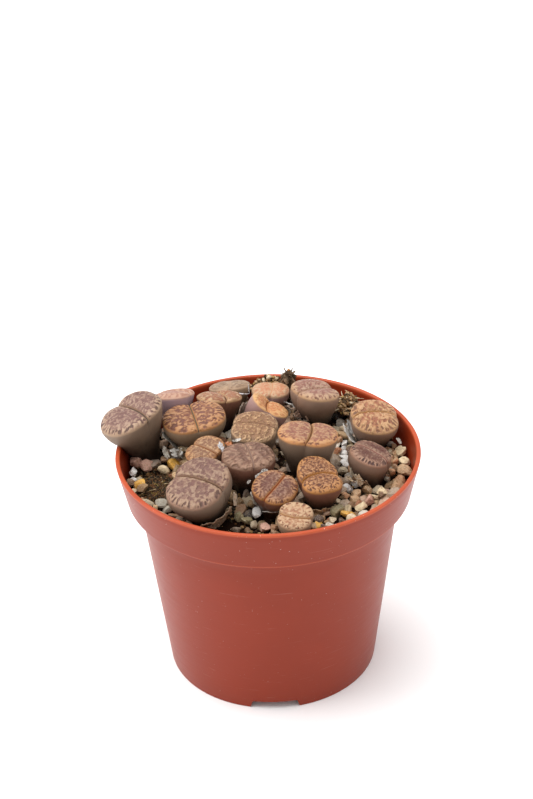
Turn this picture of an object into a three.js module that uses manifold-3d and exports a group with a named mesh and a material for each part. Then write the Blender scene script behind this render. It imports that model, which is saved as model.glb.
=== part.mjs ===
// A potted clump of living stones (lithops): a round plastic nursery pot, its soil, a gravel top
// dressing, eighteen heads, the papery sheaths that last year's leaves left round them, a dried
// flower and two heaps of dry litter. Millimetres, +Z up. Positions are counted from the pot's axis
// and the plane that it stands on; at the end the origin is moved under the middle of the whole
// object, because one head leans out over the rim. The side that is seen first faces -Y.
import * as THREE from "three";
import { mergeVertices } from "three/addons/utils/BufferGeometryUtils.js";
import Module from "manifold-3d";

const wasm = await Module();
wasm.setup();

// Pot
const RIM_RADIUS = 60;
const POT_HEIGHT = 95.5;
const COLLAR_HEIGHT = 17;
const COLLAR_FOOT_RADIUS = 56.5;
const BODY_TOP_RADIUS = 52;
const BASE_RADIUS = 42.4;
const WALL = 1.3;
const LIP_WALL = 1.8;
const EDGE_ROUND = 0.5;
const FLOOR_UNDERSIDE = 3.8;
const FLOOR_THICKNESS = 1.3;
const POT_SIDES = 48;
const NOTCHES = 3;
const NOTCH_HEIGHT = 3.5;
const NOTCH_TOP_WIDTH = 17.8;
const NOTCH_FOOT_WIDTH = 20.2;
const DRAINS = 6;
const DRAIN_RADIUS = 4;
const DRAIN_RING_RADIUS = 29;

// Fill
const CLEARANCE = 0.3;
const SOIL_TOP = 80.2;
const GRAVEL_TOP = 87.6;
const ROOT_TIP = SOIL_TOP;
const HOLE_SIDES = 12;
const BARE_PATCH = { x: -45, y: -12, halfWide: 6.5, halfLong: 11, turn: 15, top: 88.4 };

// Gravel
const GRAVEL_SEED = 11;
const PEBBLE_TRIES = 6000;
const PEBBLE_SMALL = 3.4;
const PEBBLE_LARGE = 4.8;
const PEBBLE_SPACING = 0.84;

// Heads. Each is one pair of fleshy leaves, grown together round a fissure.
// x, y and top: the middle of its upper face. lean: degrees that the face tips over, and towards:
// the compass direction it tips to, counted from +X. fissure: the direction of the cleft. along and
// across: the face's half widths along the cleft and across both leaves. root: where the body's
// axis stands at the tip of the root. waist: the share of the face's width that is left at the
// gravel, and taper: how late the body draws in to it. pinch: how far the outline is drawn in where
// the cleft meets it. bow and offset: how far the cleft is curved, and moved off the middle. droop:
// 0 where the body starts off square to the face, 1 where it starts off straight down. fold: how
// far the two leaves slope down to the cleft.
const BROWN_SKIN = "#94705c";
const GREY_SKIN = "#908373";
const ORANGE_SKIN = "#bd7d50";
const USUAL = {
  waist: 0.6, taper: 1.3, droop: 0, pinch: 0.06, bow: 0, offset: 0, fold: 0, skin: BROWN_SKIN,
};
const HEADS = [
  { x: -54.4, y: 14, top: 107.6, lean: 21, towards: 193, fissure: 132, along: 12.1, across: 13.2,
    root: [-45, 13], waist: 0.42, droop: 1, pinch: 0.1, bow: 0.06, offset: -0.15, skin: GREY_SKIN },
  { x: -38, y: 34.3, top: 102.8, lean: 21, towards: 100, fissure: 158, along: 8.4, across: 8.8,
    root: [-36, 31.5], waist: 0.5, taper: 0.8, offset: -0.35 },
  { x: -29.2, y: 16, top: 103.2, lean: 7, towards: 248, fissure: 103, along: 10.2, across: 12.8,
    root: [-28, 20], waist: 0.55, taper: 1.4, pinch: 0.09, skin: ORANGE_SKIN },
  { x: -15.3, y: 48.9, top: 97.6, lean: 14, towards: 111, fissure: 92, along: 6.5, across: 8.6,
    root: [-13.5, 44.5], taper: 1, pinch: 0.04, skin: GREY_SKIN },
  { x: -19.1, y: 34.6, top: 101, lean: 13, towards: 69, fissure: 113, along: 7.1, across: 9.5,
    root: [-19.5, 34], taper: 0.9, pinch: 0.08, offset: -0.2, skin: ORANGE_SKIN },
  { x: 1.8, y: 45, top: 97.4, lean: 5, towards: 69, fissure: 87, along: 7.6, across: 7.9,
    root: [1.5, 43.5], taper: 1.2, pinch: 0.12, offset: -0.1, skin: ORANGE_SKIN },
  { x: 2.3, y: 25.4, top: 102, lean: 32, towards: 6, fissure: 84, along: 6.8, across: 8.3,
    root: [-7, 27], waist: 0.8, taper: 1.9, pinch: 0.12, offset: 0.15, fold: 0.25, skin: ORANGE_SKIN },
  { x: 19.9, y: 34.5, top: 103, lean: 10, towards: 50, fissure: 26, along: 9.4, across: 11,
    root: [20, 37], taper: 1.5, pinch: 0.1, offset: 0.08 },
  { x: 43.1, y: 16.7, top: 100.2, lean: 13, towards: 302, fissure: 6, along: 9.9, across: 10.1,
    root: [42, 17.5], taper: 1.6, pinch: 0.04, offset: 0.2, skin: ORANGE_SKIN },
  { x: -5, y: 8.7, top: 102, lean: 8, towards: 281, fissure: 170, along: 9.6, across: 9.7,
    root: [-6, 10], waist: 0.65, taper: 1.5, pinch: 0.05, offset: -0.1, skin: GREY_SKIN },
  { x: 15.8, y: -4.2, top: 106.2, lean: 4, towards: 10, fissure: 81, along: 9.3, across: 11.8,
    root: [16.5, -2.5], taper: 1, pinch: 0.14, offset: -0.12 },
  { x: 40.2, y: -9, top: 98.8, lean: 15, towards: 336, fissure: 150, along: 8.3, across: 7.7,
    root: [40.5, -9], waist: 0.75, taper: 2, pinch: 0.04, offset: -0.1 },
  { x: -24.6, y: -4.6, top: 100, lean: 13, towards: 232, fissure: 140, along: 7.2, across: 8.1,
    root: [-23.5, -2.5], pinch: 0.07, offset: -0.03, skin: ORANGE_SKIN },
  { x: -7.5, y: -12.6, top: 102, lean: 5, towards: 315, fissure: 104, along: 9.3, across: 10.4,
    root: [-7.5, -11], taper: 1.5, pinch: 0.05, offset: -0.05 },
  { x: -26.9, y: -32.6, top: 103.3, lean: 15, towards: 242, fissure: 153, along: 11.7, across: 13.5,
    root: [-22.5, -30.5], taper: 1.8, pinch: 0.09, offset: -0.12, skin: GREY_SKIN },
  { x: 2.4, y: -31.4, top: 99.2, lean: 15, towards: 289, fissure: 59, along: 8.8, across: 8.6,
    root: [1.5, -27.5], taper: 1.2, pinch: 0.04, offset: -0.05 },
  { x: 19.6, y: -28, top: 100.2, lean: 12, towards: 297, fissure: 17, along: 8.3, across: 10.4,
    root: [19.5, -25.5], pinch: 0.08, bow: 0.25, skin: ORANGE_SKIN },
  { x: 9.5, y: -47, top: 96.4, lean: 12, towards: 274, fissure: 166, along: 6.8, across: 7.4,
    root: [9, -43.5], waist: 0.75, taper: 1.7, pinch: 0.05, bow: 0.05, offset: 0.2, skin: ORANGE_SKIN },
].map((head) => ({ ...USUAL, ...head }));
const SHOULDER = 0.2;
const OUTLINE_POWER = 2.3;
const CROWN = 0.06;
const BELLY = 0.05;
const CLEFT_DEPTH = 0.13;
const CLEFT_WIDTH = 0.9;
const ROOT_WIDTH = 0.4;
const FACE_RELIEF = 0.18;
const HEAD_ROWS = [-1, -0.62, -0.26, -0.08, 0, 0.08, 0.26, 0.62, 1];
const HEAD_COLUMNS = 6;
const HEAD_RINGS = 4;
const ROOM = 0.7;
const SOCKET_ROOM = 1.6;

// Papery sheaths, each round part of one head: from and to are degrees round the head, counted from
// its cleft, and rise is how far the torn edge stands above the gravel.
const SHEATH_WALL = 0.65;
const SHEATH_GAP = 0.6;
const SHEATHS = [
  { head: 3, from: 65, to: 150, rise: 8.5 },
  { head: 9, from: 160, to: 240, rise: 7 },
  { head: 15, from: 115, to: 195, rise: 6 },
  { head: 16, from: 40, to: 125, rise: 8 },
  { head: 17, from: 170, to: 320, rise: 3.2 },
  { head: 14, from: 290, to: 385, rise: 10 },
  { head: 7, from: 30, to: 115, rise: 10 },
  { head: 8, from: 160, to: 235, rise: 5 },
  { head: 12, from: 60, to: 125, rise: 3.6 },
];

// Dried flower on its stalk, against the back of the rim
const FLOWER = { x: 9.5, y: 52, foot: 86.5, top: 103, stalk: 0.9, cup: 2.3, sides: 9 };

// Heaps of dry litter: bits of old leaf and flower that lie on the gravel.
const STICK = 1.1;
const LITTER = [
  { x: 33.6, y: 39.6, halfWide: 4.6, halfLong: 4.4, height: 7.5, sticks: 3, seed: 5 },
  { x: 0.5, y: 54.6, halfWide: 6.5, halfLong: 1.3, height: 7.5, sticks: 1, seed: 8 },
];

const material = (color, roughness) =>
  new THREE.MeshStandardMaterial({ color, roughness, metalness: 0 });
const potPlastic = () => material("#a3493a", 0.45);
const soilDark = () => material("#2b1f18", 0.95);
const quartz = () => material("#a89a88", 0.6);
const leafSkin = (colour) => material(colour, 0.55);
const paper = () => material("#b9a68c", 0.85);
const dryBrown = () => material("#5a4636", 0.9);
const straw = () => material("#8f7a54", 0.9);

const up = new THREE.Vector3(0, 0, 1);
const radians = THREE.MathUtils.degToRad;
const lerp = THREE.MathUtils.lerp;

// A closed three.js geometry as a solid, and a solid as a geometry.
function solidOf(geometry) {
  const bare = geometry.clone();
  bare.deleteAttribute("normal");
  bare.deleteAttribute("uv");
  const merged = mergeVertices(bare, 1e-4);
  return new wasm.Manifold(
    new wasm.Mesh({
      numProp: 3,
      vertProperties: merged.attributes.position.array,
      triVerts: new Uint32Array(merged.index.array),
    }),
  );
}

function geometryOf(solid) {
  const { vertProperties, triVerts } = solid.getMesh();
  return new THREE.BufferGeometry()
    .setAttribute("position", new THREE.BufferAttribute(vertProperties, 3))
    .setIndex(new THREE.BufferAttribute(triVerts, 1));
}

function piece(name, solid, itsMaterial) {
  const mesh = new THREE.Mesh(geometryOf(solid), itsMaterial);
  mesh.name = name;
  return mesh;
}

const largest = (solid) => solid.decompose().sort((a, b) => b.volume() - a.volume())[0];

// Turned about the pot's axis from a profile of [radius, height] points.
function turned(profile, sides = POT_SIDES) {
  const points = profile.map(([r, z]) => new THREE.Vector2(r, z));
  return solidOf(new THREE.LatheGeometry(points, sides).rotateX(Math.PI / 2));
}

function upright(radius, low, high, x, y, sides) {
  const rod = new THREE.CylinderGeometry(radius, radius, high - low, sides);
  return solidOf(rod.rotateX(Math.PI / 2).translate(x, y, (low + high) / 2));
}

// Seeded draw between two values.
function drawer(seed) {
  let state = seed;
  return (low, high) => {
    state = (Math.imul(state, 1664525) + 1013904223) >>> 0;
    return low + ((high - low) * state) / 2 ** 32;
  };
}

// The pot's inner wall: its radius at a height above the shoulder, and down in the body.
const STEP_HEIGHT = POT_HEIGHT - COLLAR_HEIGHT;
const INNER_STEP = STEP_HEIGHT + WALL;
const outerCollar = (z) =>
  lerp(COLLAR_FOOT_RADIUS, RIM_RADIUS, (z - STEP_HEIGHT) / COLLAR_HEIGHT);
const innerCollar = (z) =>
  outerCollar(z) - lerp(WALL, LIP_WALL, (z - STEP_HEIGHT) / COLLAR_HEIGHT);
const innerBody = (z) => lerp(BASE_RADIUS, BODY_TOP_RADIUS, z / STEP_HEIGHT) - WALL;
const FLOOR_TOP = FLOOR_UNDERSIDE + FLOOR_THICKNESS;

function pot() {
  const shell = turned([
    [0, FLOOR_UNDERSIDE],
    [innerBody(0), FLOOR_UNDERSIDE],
    [innerBody(0), 0],
    [BASE_RADIUS, 0],
    [BODY_TOP_RADIUS - EDGE_ROUND, STEP_HEIGHT - EDGE_ROUND],
    [BODY_TOP_RADIUS + EDGE_ROUND, STEP_HEIGHT],
    [COLLAR_FOOT_RADIUS - EDGE_ROUND, STEP_HEIGHT],
    [COLLAR_FOOT_RADIUS + EDGE_ROUND / 4, STEP_HEIGHT + EDGE_ROUND],
    [RIM_RADIUS, POT_HEIGHT - EDGE_ROUND],
    [RIM_RADIUS - EDGE_ROUND, POT_HEIGHT],
    [RIM_RADIUS - LIP_WALL + EDGE_ROUND, POT_HEIGHT],
    [innerCollar(POT_HEIGHT - EDGE_ROUND), POT_HEIGHT - EDGE_ROUND],
    [innerCollar(INNER_STEP), INNER_STEP],
    [innerBody(STEP_HEIGHT), INNER_STEP],
    [innerBody(FLOOR_TOP), FLOOR_TOP],
    [0, FLOOR_TOP],
  ]);
  const notch = new THREE.Shape([
    new THREE.Vector2(-NOTCH_FOOT_WIDTH / 2, -1),
    new THREE.Vector2(NOTCH_FOOT_WIDTH / 2, -1),
    new THREE.Vector2(NOTCH_TOP_WIDTH / 2, NOTCH_HEIGHT),
    new THREE.Vector2(-NOTCH_TOP_WIDTH / 2, NOTCH_HEIGHT),
  ]);
  let cut = shell;
  for (let i = 0; i < NOTCHES; i++) {
    const bar = new THREE.ExtrudeGeometry(notch, { depth: BASE_RADIUS / 2, bevelEnabled: false });
    bar.rotateX(Math.PI / 2).translate(0, -BASE_RADIUS * 0.6, 0);
    cut = cut.subtract(solidOf(bar.rotateZ((2 * Math.PI * i) / NOTCHES)));
  }
  for (let i = 0; i <= DRAINS; i++) {
    const ring = i === DRAINS ? 0 : DRAIN_RING_RADIUS;
    const turn = (2 * Math.PI * (i + 0.5)) / DRAINS;
    const [x, y] = [ring * Math.cos(turn), ring * Math.sin(turn)];
    cut = cut.subtract(upright(DRAIN_RADIUS, 0, FLOOR_TOP + 1, x, y, HOLE_SIDES));
  }
  return piece("pot", cut, potPlastic());
}

// A head's own directions: out of its face, along its cleft, and across its two leaves.
function directions(head) {
  const tip = radians(head.lean);
  const out = new THREE.Vector3(
    Math.sin(tip) * Math.cos(radians(head.towards)),
    Math.sin(tip) * Math.sin(radians(head.towards)),
    Math.cos(tip),
  );
  const cleft = new THREE.Vector3(
    Math.cos(radians(head.fissure)),
    Math.sin(radians(head.fissure)),
    0,
  );
  return { out, cleft };
}

// How far down its head a height is, from the face (0) to the tip of the root (1).
const depth = (head, z) => (head.top - z) / (head.top - ROOT_TIP);

// Where the head's axis is, and which way the cross-section there faces, from the face (0) to the
// root's tip (1).
function station(head, down) {
  const { out, cleft } = directions(head);
  const shoulder = SHOULDER * Math.min(head.along, head.across);
  const face = new THREE.Vector3(head.x, head.y, head.top).addScaledVector(out, -shoulder);
  const root = new THREE.Vector3(...head.root, ROOT_TIP);
  const start = out.clone().lerp(up, head.droop);
  const bend = face.clone().addScaledVector(start, -0.45 * (head.top - ROOT_TIP));
  const at = new THREE.QuadraticBezierCurve3(face, bend, root).getPoint(down);
  const normal = out.clone().lerp(up, down).normalize();
  const along = cleft.clone().addScaledVector(normal, -normal.dot(cleft)).normalize();
  const across = normal.clone().cross(along);
  return { at, normal, along, across, shoulder };
}

// The share of the face's width that the body keeps: full at the shoulder, drawn in to the waist at
// the gravel, and narrow at the root.
function width(head, down) {
  const atGravel = depth(head, GRAVEL_TOP);
  const belly = 1 + BELLY * Math.sin(Math.PI * Math.min(down / (0.6 * atGravel), 1));
  if (down <= atGravel) return belly * lerp(1, head.waist, (down / atGravel) ** head.taper);
  return lerp(head.waist, ROOT_WIDTH, (down - atGravel) / (1 - atGravel));
}

// Low lumps on the face, alike on every head but for where they fall.
function relief(head, across, along) {
  const [u, v] = [across + head.x, along + head.y];
  return FACE_RELIEF * (Math.sin(1.3 * u + 0.7 * v) + Math.sin(0.6 * u - 1.4 * v));
}

// A point of a head, from its place on a cube: the cube's top becomes the face, its sides the body
// and its underside the root's tip. grow moves the surface outwards.
function headPoint(head, u, v, w, grow = 0) {
  const round = [u * Math.sqrt(1 - (v * v) / 2), v * Math.sqrt(1 - (u * u) / 2)];
  const reach = Math.hypot(...round);
  const angle = Math.atan2(round[1], round[0]);
  const down = (1 - w) / 2;
  const { at, normal, along, across, shoulder } = station(head, down);
  const [c, s] = [Math.abs(Math.cos(angle)), Math.abs(Math.sin(angle))];
  const squared = (c ** OUTLINE_POWER + s ** OUTLINE_POWER) ** (-1 / OUTLINE_POWER);
  const drawn = head.pinch * Math.exp(-((s / 0.25) ** 2)) * reach ** 4;
  const outline = squared * (1 - drawn * Math.max(0, 1 - down / 0.6));
  const share = width(head, down);
  const x = (head.along * share + grow) * round[0] * outline;
  const bend = head.offset * (1 - reach * reach) + head.bow * (1 - round[0] ** 2);
  const y = (head.across * share + grow) * (round[1] + bend * (1 - down)) * outline;
  let z = down === 1 ? -grow : 0;
  if (down === 0) {
    const cleft = CLEFT_DEPTH * head.across * Math.exp(-((round[1] * head.across / CLEFT_WIDTH) ** 2));
    const inside = 1 - reach ** 6;
    const valley = head.fold * head.across * (1 - Math.sqrt(round[1] ** 2 + 0.01));
    z = shoulder * Math.sqrt(Math.max(0, 1 - reach ** 4.5)) + grow;
    z += CROWN * head.along * (1 - reach * reach) - valley * (0.55 + 0.45 * inside);
    z += relief(head, x, y) * inside - (grow ? 0 : cleft * (0.5 + 0.5 * inside));
  }
  return at.addScaledVector(along, x).addScaledVector(across, y).addScaledVector(normal, z);
}

function headSolid(head, columns, rows, rings, grow = 0) {
  const cube = new THREE.BoxGeometry(2, 2, 2, columns, rows.length - 1, rings);
  const place = cube.attributes.position;
  const span = rows.length - 1;
  for (let i = 0; i < place.count; i++) {
    const row = rows[Math.round(((place.getY(i) + 1) / 2) * span)];
    const p = headPoint(head, place.getX(i), row, place.getZ(i), grow);
    place.setXYZ(i, p.x, p.y, p.z);
  }
  return solidOf(cube);
}

const leafPair = (head) => headSolid(head, HEAD_COLUMNS, HEAD_ROWS, HEAD_RINGS);
const roomFor = (head) => headSolid(head, 4, [-1, -0.5, 0, 0.5, 1], 4, ROOM);

// The pot's upper wall and lip with a gap round them, which a head that leans out has to clear.
const rimRoom = () =>
  turned([
    [innerCollar(SOIL_TOP) - CLEARANCE, SOIL_TOP],
    [RIM_RADIUS + 5, SOIL_TOP],
    [RIM_RADIUS + 5, POT_HEIGHT + CLEARANCE],
    [innerCollar(POT_HEIGHT) - CLEARANCE, POT_HEIGHT + CLEARANCE],
    [innerCollar(SOIL_TOP) - CLEARANCE, SOIL_TOP],
  ]);

// A plain hole through the gravel for the head's foot.
function socket(head) {
  const atGravel = depth(head, GRAVEL_TOP);
  const half = Math.max(head.along, head.across) * 1.03;
  const wide = half * head.waist + SOCKET_ROOM;
  const narrow = half * ROOT_WIDTH + SOCKET_ROOM;
  const hole = new THREE.CylinderGeometry(wide, narrow, 2, HOLE_SIDES).rotateX(Math.PI / 2);
  const place = hole.attributes.position;
  for (let i = 0; i < place.count; i++) {
    const { at } = station(head, place.getZ(i) > 0 ? atGravel : 1);
    const beyond = place.getZ(i) * ROOM;
    place.setXYZ(i, place.getX(i) + at.x, place.getY(i) + at.y, at.z + beyond);
  }
  return solidOf(hole);
}

// A strip of papery skin that follows part of a head's side, torn along its upper edge.
function sheathSolid(sheath, inner, outer) {
  const head = HEADS[sheath.head - 1];
  const strip = new THREE.BoxGeometry(1, 1, 1, 9, 2, 1);
  const place = strip.attributes.position;
  for (let i = 0; i < place.count; i++) {
    const turn = lerp(sheath.from, sheath.to, place.getX(i) + 0.5);
    const torn = 0.9 * Math.sin(turn * 0.21) + 0.6 * Math.sin(turn * 0.083 + sheath.head);
    const edge = GRAVEL_TOP + sheath.rise + torn;
    const down = depth(head, lerp(GRAVEL_TOP - 2, edge, place.getY(i) + 0.5));
    const [c, s] = [Math.cos(radians(turn)), Math.sin(radians(turn))];
    const square = 1 / Math.max(Math.abs(c), Math.abs(s));
    const grow = place.getZ(i) > 0 ? outer : inner;
    const p = headPoint(head, c * square, s * square, 1 - 2 * down, grow);
    place.setXYZ(i, p.x, p.y, p.z);
  }
  return solidOf(strip);
}

// The space between the pot's walls, from one height to another, with a gap all round.
function between(low, high) {
  return turned([
    [0, low],
    [innerCollar(low) - CLEARANCE, low],
    [innerCollar(high) - CLEARANCE, high],
    [0, high],
  ]);
}

// The spot where no stones lie and the soil shows.
function barePatch(grow, low, high) {
  const { x, y, halfWide, halfLong, turn } = BARE_PATCH;
  const mound = new THREE.CylinderGeometry(1, 1, high - low, HOLE_SIDES).rotateX(Math.PI / 2);
  mound.scale(halfWide + grow, halfLong + grow, 1).rotateZ(radians(turn));
  return solidOf(mound.translate(x, y, (low + high) / 2));
}

function soil() {
  const fill = turned([
    [0, FLOOR_TOP],
    [innerBody(FLOOR_TOP) - CLEARANCE, FLOOR_TOP],
    [innerBody(STEP_HEIGHT) - CLEARANCE, SOIL_TOP],
    [0, SOIL_TOP],
  ]);
  const mound = barePatch(0, SOIL_TOP - 0.2, BARE_PATCH.top);
  const low = SOIL_TOP - 0.3;
  return piece("soil", fill.add(mound.intersect(between(low, POT_HEIGHT))), soilDark());
}

function pebbles() {
  const draw = drawer(GRAVEL_SEED);
  const feet = HEADS.map((head) => ({
    at: station(head, depth(head, GRAVEL_TOP)).at,
    half: (head.waist * (head.along + head.across)) / 2 + ROOM,
  }));
  const laid = [];
  for (let i = 0; i < PEBBLE_TRIES; i++) {
    const size = draw(PEBBLE_SMALL, PEBBLE_LARGE);
    const far = (innerCollar(GRAVEL_TOP) - CLEARANCE - 1.15 * size) * Math.sqrt(draw(0, 1));
    const turn = draw(0, 2 * Math.PI);
    const [x, y] = [far * Math.cos(turn), far * Math.sin(turn)];
    const apart = ({ at, half }) => Math.hypot(at.x - x, at.y - y) - half;
    const taken = laid.some((p) => Math.hypot(p.x - x, p.y - y) < PEBBLE_SPACING * (p.size + size));
    const covers = (spot) => {
      const [u, v] = [(x - spot.x) / (spot.halfWide + size), (y - spot.y) / (spot.halfLong + size)];
      return Math.hypot(u, v) < 1;
    };
    const bare = [BARE_PATCH, ...LITTER].some(covers);
    if (!taken && !bare && feet.every((foot) => apart(foot) > 0.6 * size)) laid.push({ x, y, size });
  }
  return laid.map(({ x, y, size }) => {
    const stone = new THREE.IcosahedronGeometry(size, 0);
    stone.scale(draw(0.95, 1.15), draw(0.85, 1.05), draw(0.6, 0.8));
    stone.rotateX(draw(-0.4, 0.4)).rotateY(draw(-0.4, 0.4)).rotateZ(draw(0, Math.PI));
    return solidOf(stone.translate(x, y, GRAVEL_TOP + size * draw(-0.1, 0.2)));
  });
}

function gravel(rooms) {
  const patch = barePatch(CLEARANCE, SOIL_TOP - 1, POT_HEIGHT);
  const holes = wasm.Manifold.union([patch, flowerSolid(CLEARANCE), ...HEADS.map(socket)]);
  const bed = between(SOIL_TOP, GRAVEL_TOP).subtract(holes);
  const stones = wasm.Manifold.union(pebbles()).subtract(rooms).subtract(patch);
  return piece("gravel", largest(bed.add(stones)), quartz());
}

// The stalk, the shrivelled cup above it and its tip.
function flowerSolid(grow) {
  const { x, y, foot, top, stalk, cup, sides } = FLOWER;
  const height = top - foot;
  const profile = [
    [0, -grow],
    [stalk + grow, -grow],
    [stalk + grow, height * 0.5],
    [cup + grow, height * 0.68],
    [cup * 0.75 + grow, height * 0.82],
    [stalk + grow, height * 0.9],
    [stalk * 1.2 + grow, height * 0.96],
    [0, height],
  ].map(([r, z]) => new THREE.Vector2(r, z));
  const body = new THREE.LatheGeometry(profile, sides).rotateX(Math.PI / 2);
  return solidOf(body.rotateX(radians(5)).translate(x, y, foot));
}

// A lumpy heap with a few sticks lying across it.
function litterSolid({ x, y, halfWide, halfLong, height, sticks, seed }) {
  const draw = drawer(seed);
  const heap = new THREE.SphereGeometry(1, 10, 6).rotateX(Math.PI / 2);
  const place = heap.attributes.position;
  for (let i = 0; i < place.count; i++) {
    const [u, v, w] = [place.getX(i), place.getY(i), place.getZ(i)];
    const lump = 0.9 + 0.14 * Math.sin(6 * u + seed) * Math.sin(5 * v + seed) * Math.cos(3 * w);
    place.setXYZ(i, u * lump * halfWide, v * lump * halfLong, w * lump * height);
  }
  const bits = [solidOf(heap)];
  for (let i = 0; i < sticks; i++) {
    const stick = new THREE.CylinderGeometry(STICK * 0.4, STICK / 2, height * 1.1, 5);
    stick.rotateX(draw(0.8, 1.2)).rotateZ((i * 2 * Math.PI) / 3 + draw(-0.3, 0.3));
    bits.push(solidOf(stick.translate(draw(-0.4, 0.4) * halfWide, 0, height * 0.75)));
  }
  const ground = solidOf(new THREE.BoxGeometry(60, 60, 20).translate(0, 0, 0.05 - 10));
  return wasm.Manifold.union(bits).subtract(ground).translate(x, y, GRAVEL_TOP);
}

const object = new THREE.Group();
object.name = "potted_lithops";
const sheathSolids = SHEATHS.map((s) => sheathSolid(s, SHEATH_GAP, SHEATH_GAP + SHEATH_WALL));
const sheathRooms = SHEATHS.map(({ head, from, to, rise }) => {
  const wider = { head, from: from - 3, to: to + 3, rise: rise + CLEARANCE };
  return sheathSolid(wider, 0, SHEATH_GAP + SHEATH_WALL + CLEARANCE);
});
const headRooms = HEADS.map(roomFor);
const rooms = wasm.Manifold.union([...headRooms, ...sheathRooms, flowerSolid(CLEARANCE)]);
object.add(pot(), soil(), gravel(rooms));
const bed = between(SOIL_TOP, GRAVEL_TOP + 0.05);
const rim = rimRoom();
HEADS.forEach((head, i) => {
  const number = String(i + 1).padStart(2, "0");
  object.add(piece(`leaf_pair_${number}`, leafPair(head).subtract(rim), leafSkin(head.skin)));
});
sheathSolids.forEach((solid, i) => {
  const neighbours = headRooms.filter((_, j) => j !== SHEATHS[i].head - 1);
  const clear = solid.subtract(wasm.Manifold.union([bed, ...neighbours]));
  object.add(piece(`dry_sheath_${i + 1}`, largest(clear), paper()));
});
object.add(piece("dry_flower", flowerSolid(0), dryBrown()));
LITTER.forEach((heap, i) => {
  const clear = litterSolid(heap).subtract(rooms);
  object.add(piece(`dry_litter_${i + 1}`, largest(clear), straw()));
});

const middle = new THREE.Box3().setFromObject(object).getCenter(new THREE.Vector3());
object.children.forEach((mesh) => mesh.geometry.translate(-middle.x, -middle.y, 0));

export default object;
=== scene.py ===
import random
from math import atan2, ceil, cos, exp, hypot, log, pi, radians, sin, sqrt

import bmesh
import bpy
from bpy.props import FloatProperty, FloatVectorProperty, IntProperty, PointerProperty
from mathutils import Matrix, Vector, noise


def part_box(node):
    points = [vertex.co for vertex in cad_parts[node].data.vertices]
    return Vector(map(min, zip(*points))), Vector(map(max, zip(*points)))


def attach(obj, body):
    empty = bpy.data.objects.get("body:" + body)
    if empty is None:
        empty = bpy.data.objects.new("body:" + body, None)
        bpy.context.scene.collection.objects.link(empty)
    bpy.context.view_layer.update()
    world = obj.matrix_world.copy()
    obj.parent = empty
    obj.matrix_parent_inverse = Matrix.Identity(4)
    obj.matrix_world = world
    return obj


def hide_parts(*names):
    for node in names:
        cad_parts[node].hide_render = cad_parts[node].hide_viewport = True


bl_info = {
    "name": "Potted living stones",
    "version": (1, 0, 0),
    "blender": (4, 5, 0),
    "location": "View3D > Sidebar > Lithops",
    "description": "Builds a round nursery pot with grit, living stones and their dry husks",
    "category": "Add Mesh",
}

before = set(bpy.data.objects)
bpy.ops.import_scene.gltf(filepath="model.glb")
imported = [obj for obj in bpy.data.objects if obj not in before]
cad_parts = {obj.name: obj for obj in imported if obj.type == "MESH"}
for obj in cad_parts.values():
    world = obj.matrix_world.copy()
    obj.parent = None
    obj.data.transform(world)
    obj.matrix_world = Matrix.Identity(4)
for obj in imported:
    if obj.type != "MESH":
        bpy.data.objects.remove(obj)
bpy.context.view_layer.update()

# Lengths below are millimetres, counted from the pot's axis and from the plane it stands on. The
# pieces are made so, and then moved and scaled to the frame, which is in metres.
MM = 0.001
POT_LOW, POT_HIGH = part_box("pot")
POT_AXIS = Vector(((POT_LOW.x + POT_HIGH.x) / 2, (POT_LOW.y + POT_HIGH.y) / 2, 0))
TO_FRAME = Matrix.Translation(POT_AXIS) @ Matrix.Scale(MM, 4)
UP = Vector((0, 0, 1))

# Pot
RIM_RADIUS = (POT_HIGH.x - POT_LOW.x) / 2 / MM
POT_HEIGHT = POT_HIGH.z / MM
COLLAR_HEIGHT = 17
COLLAR_FOOT_RADIUS = 56.5
BODY_TOP_RADIUS = 52
BASE_RADIUS = 42.4
WALL = 1.3
LIP_WALL = 1.8
FLOOR_UNDERSIDE = 3.8
FLOOR_TOP = 5.1
NOTCHES = 3
NOTCH_HEIGHT = 3.5
NOTCH_TOP_WIDTH = 17.8
NOTCH_FOOT_WIDTH = 20.2
DRAINS = 6
DRAIN_RADIUS = 4
DRAIN_RING_RADIUS = 29
EDGE_ROUND = 0.45
FEWEST_POT_FACES = 5000
STEP_HEIGHT = POT_HEIGHT - COLLAR_HEIGHT

# Fill
ROOT_TIP = 80.2
GRAVEL_TOP = 87.6
HIGHEST_STONE = 90.4
STONES_REACH = 56
CRUMBS_REACH = 55.5
STONE_TO_RIM = 0.5
SOIL_LEVEL = 84.6
SOIL_FLAT = 84
SOIL_RADIUS = 55.4
SOIL_TO_WALL = 0.3
SOIL_TO_FLOOR = 0.05
BARE_PATCH = {"x": -42.5, "y": -13.5, "half_wide": 8.5, "half_long": 13, "turn": 10}

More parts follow.
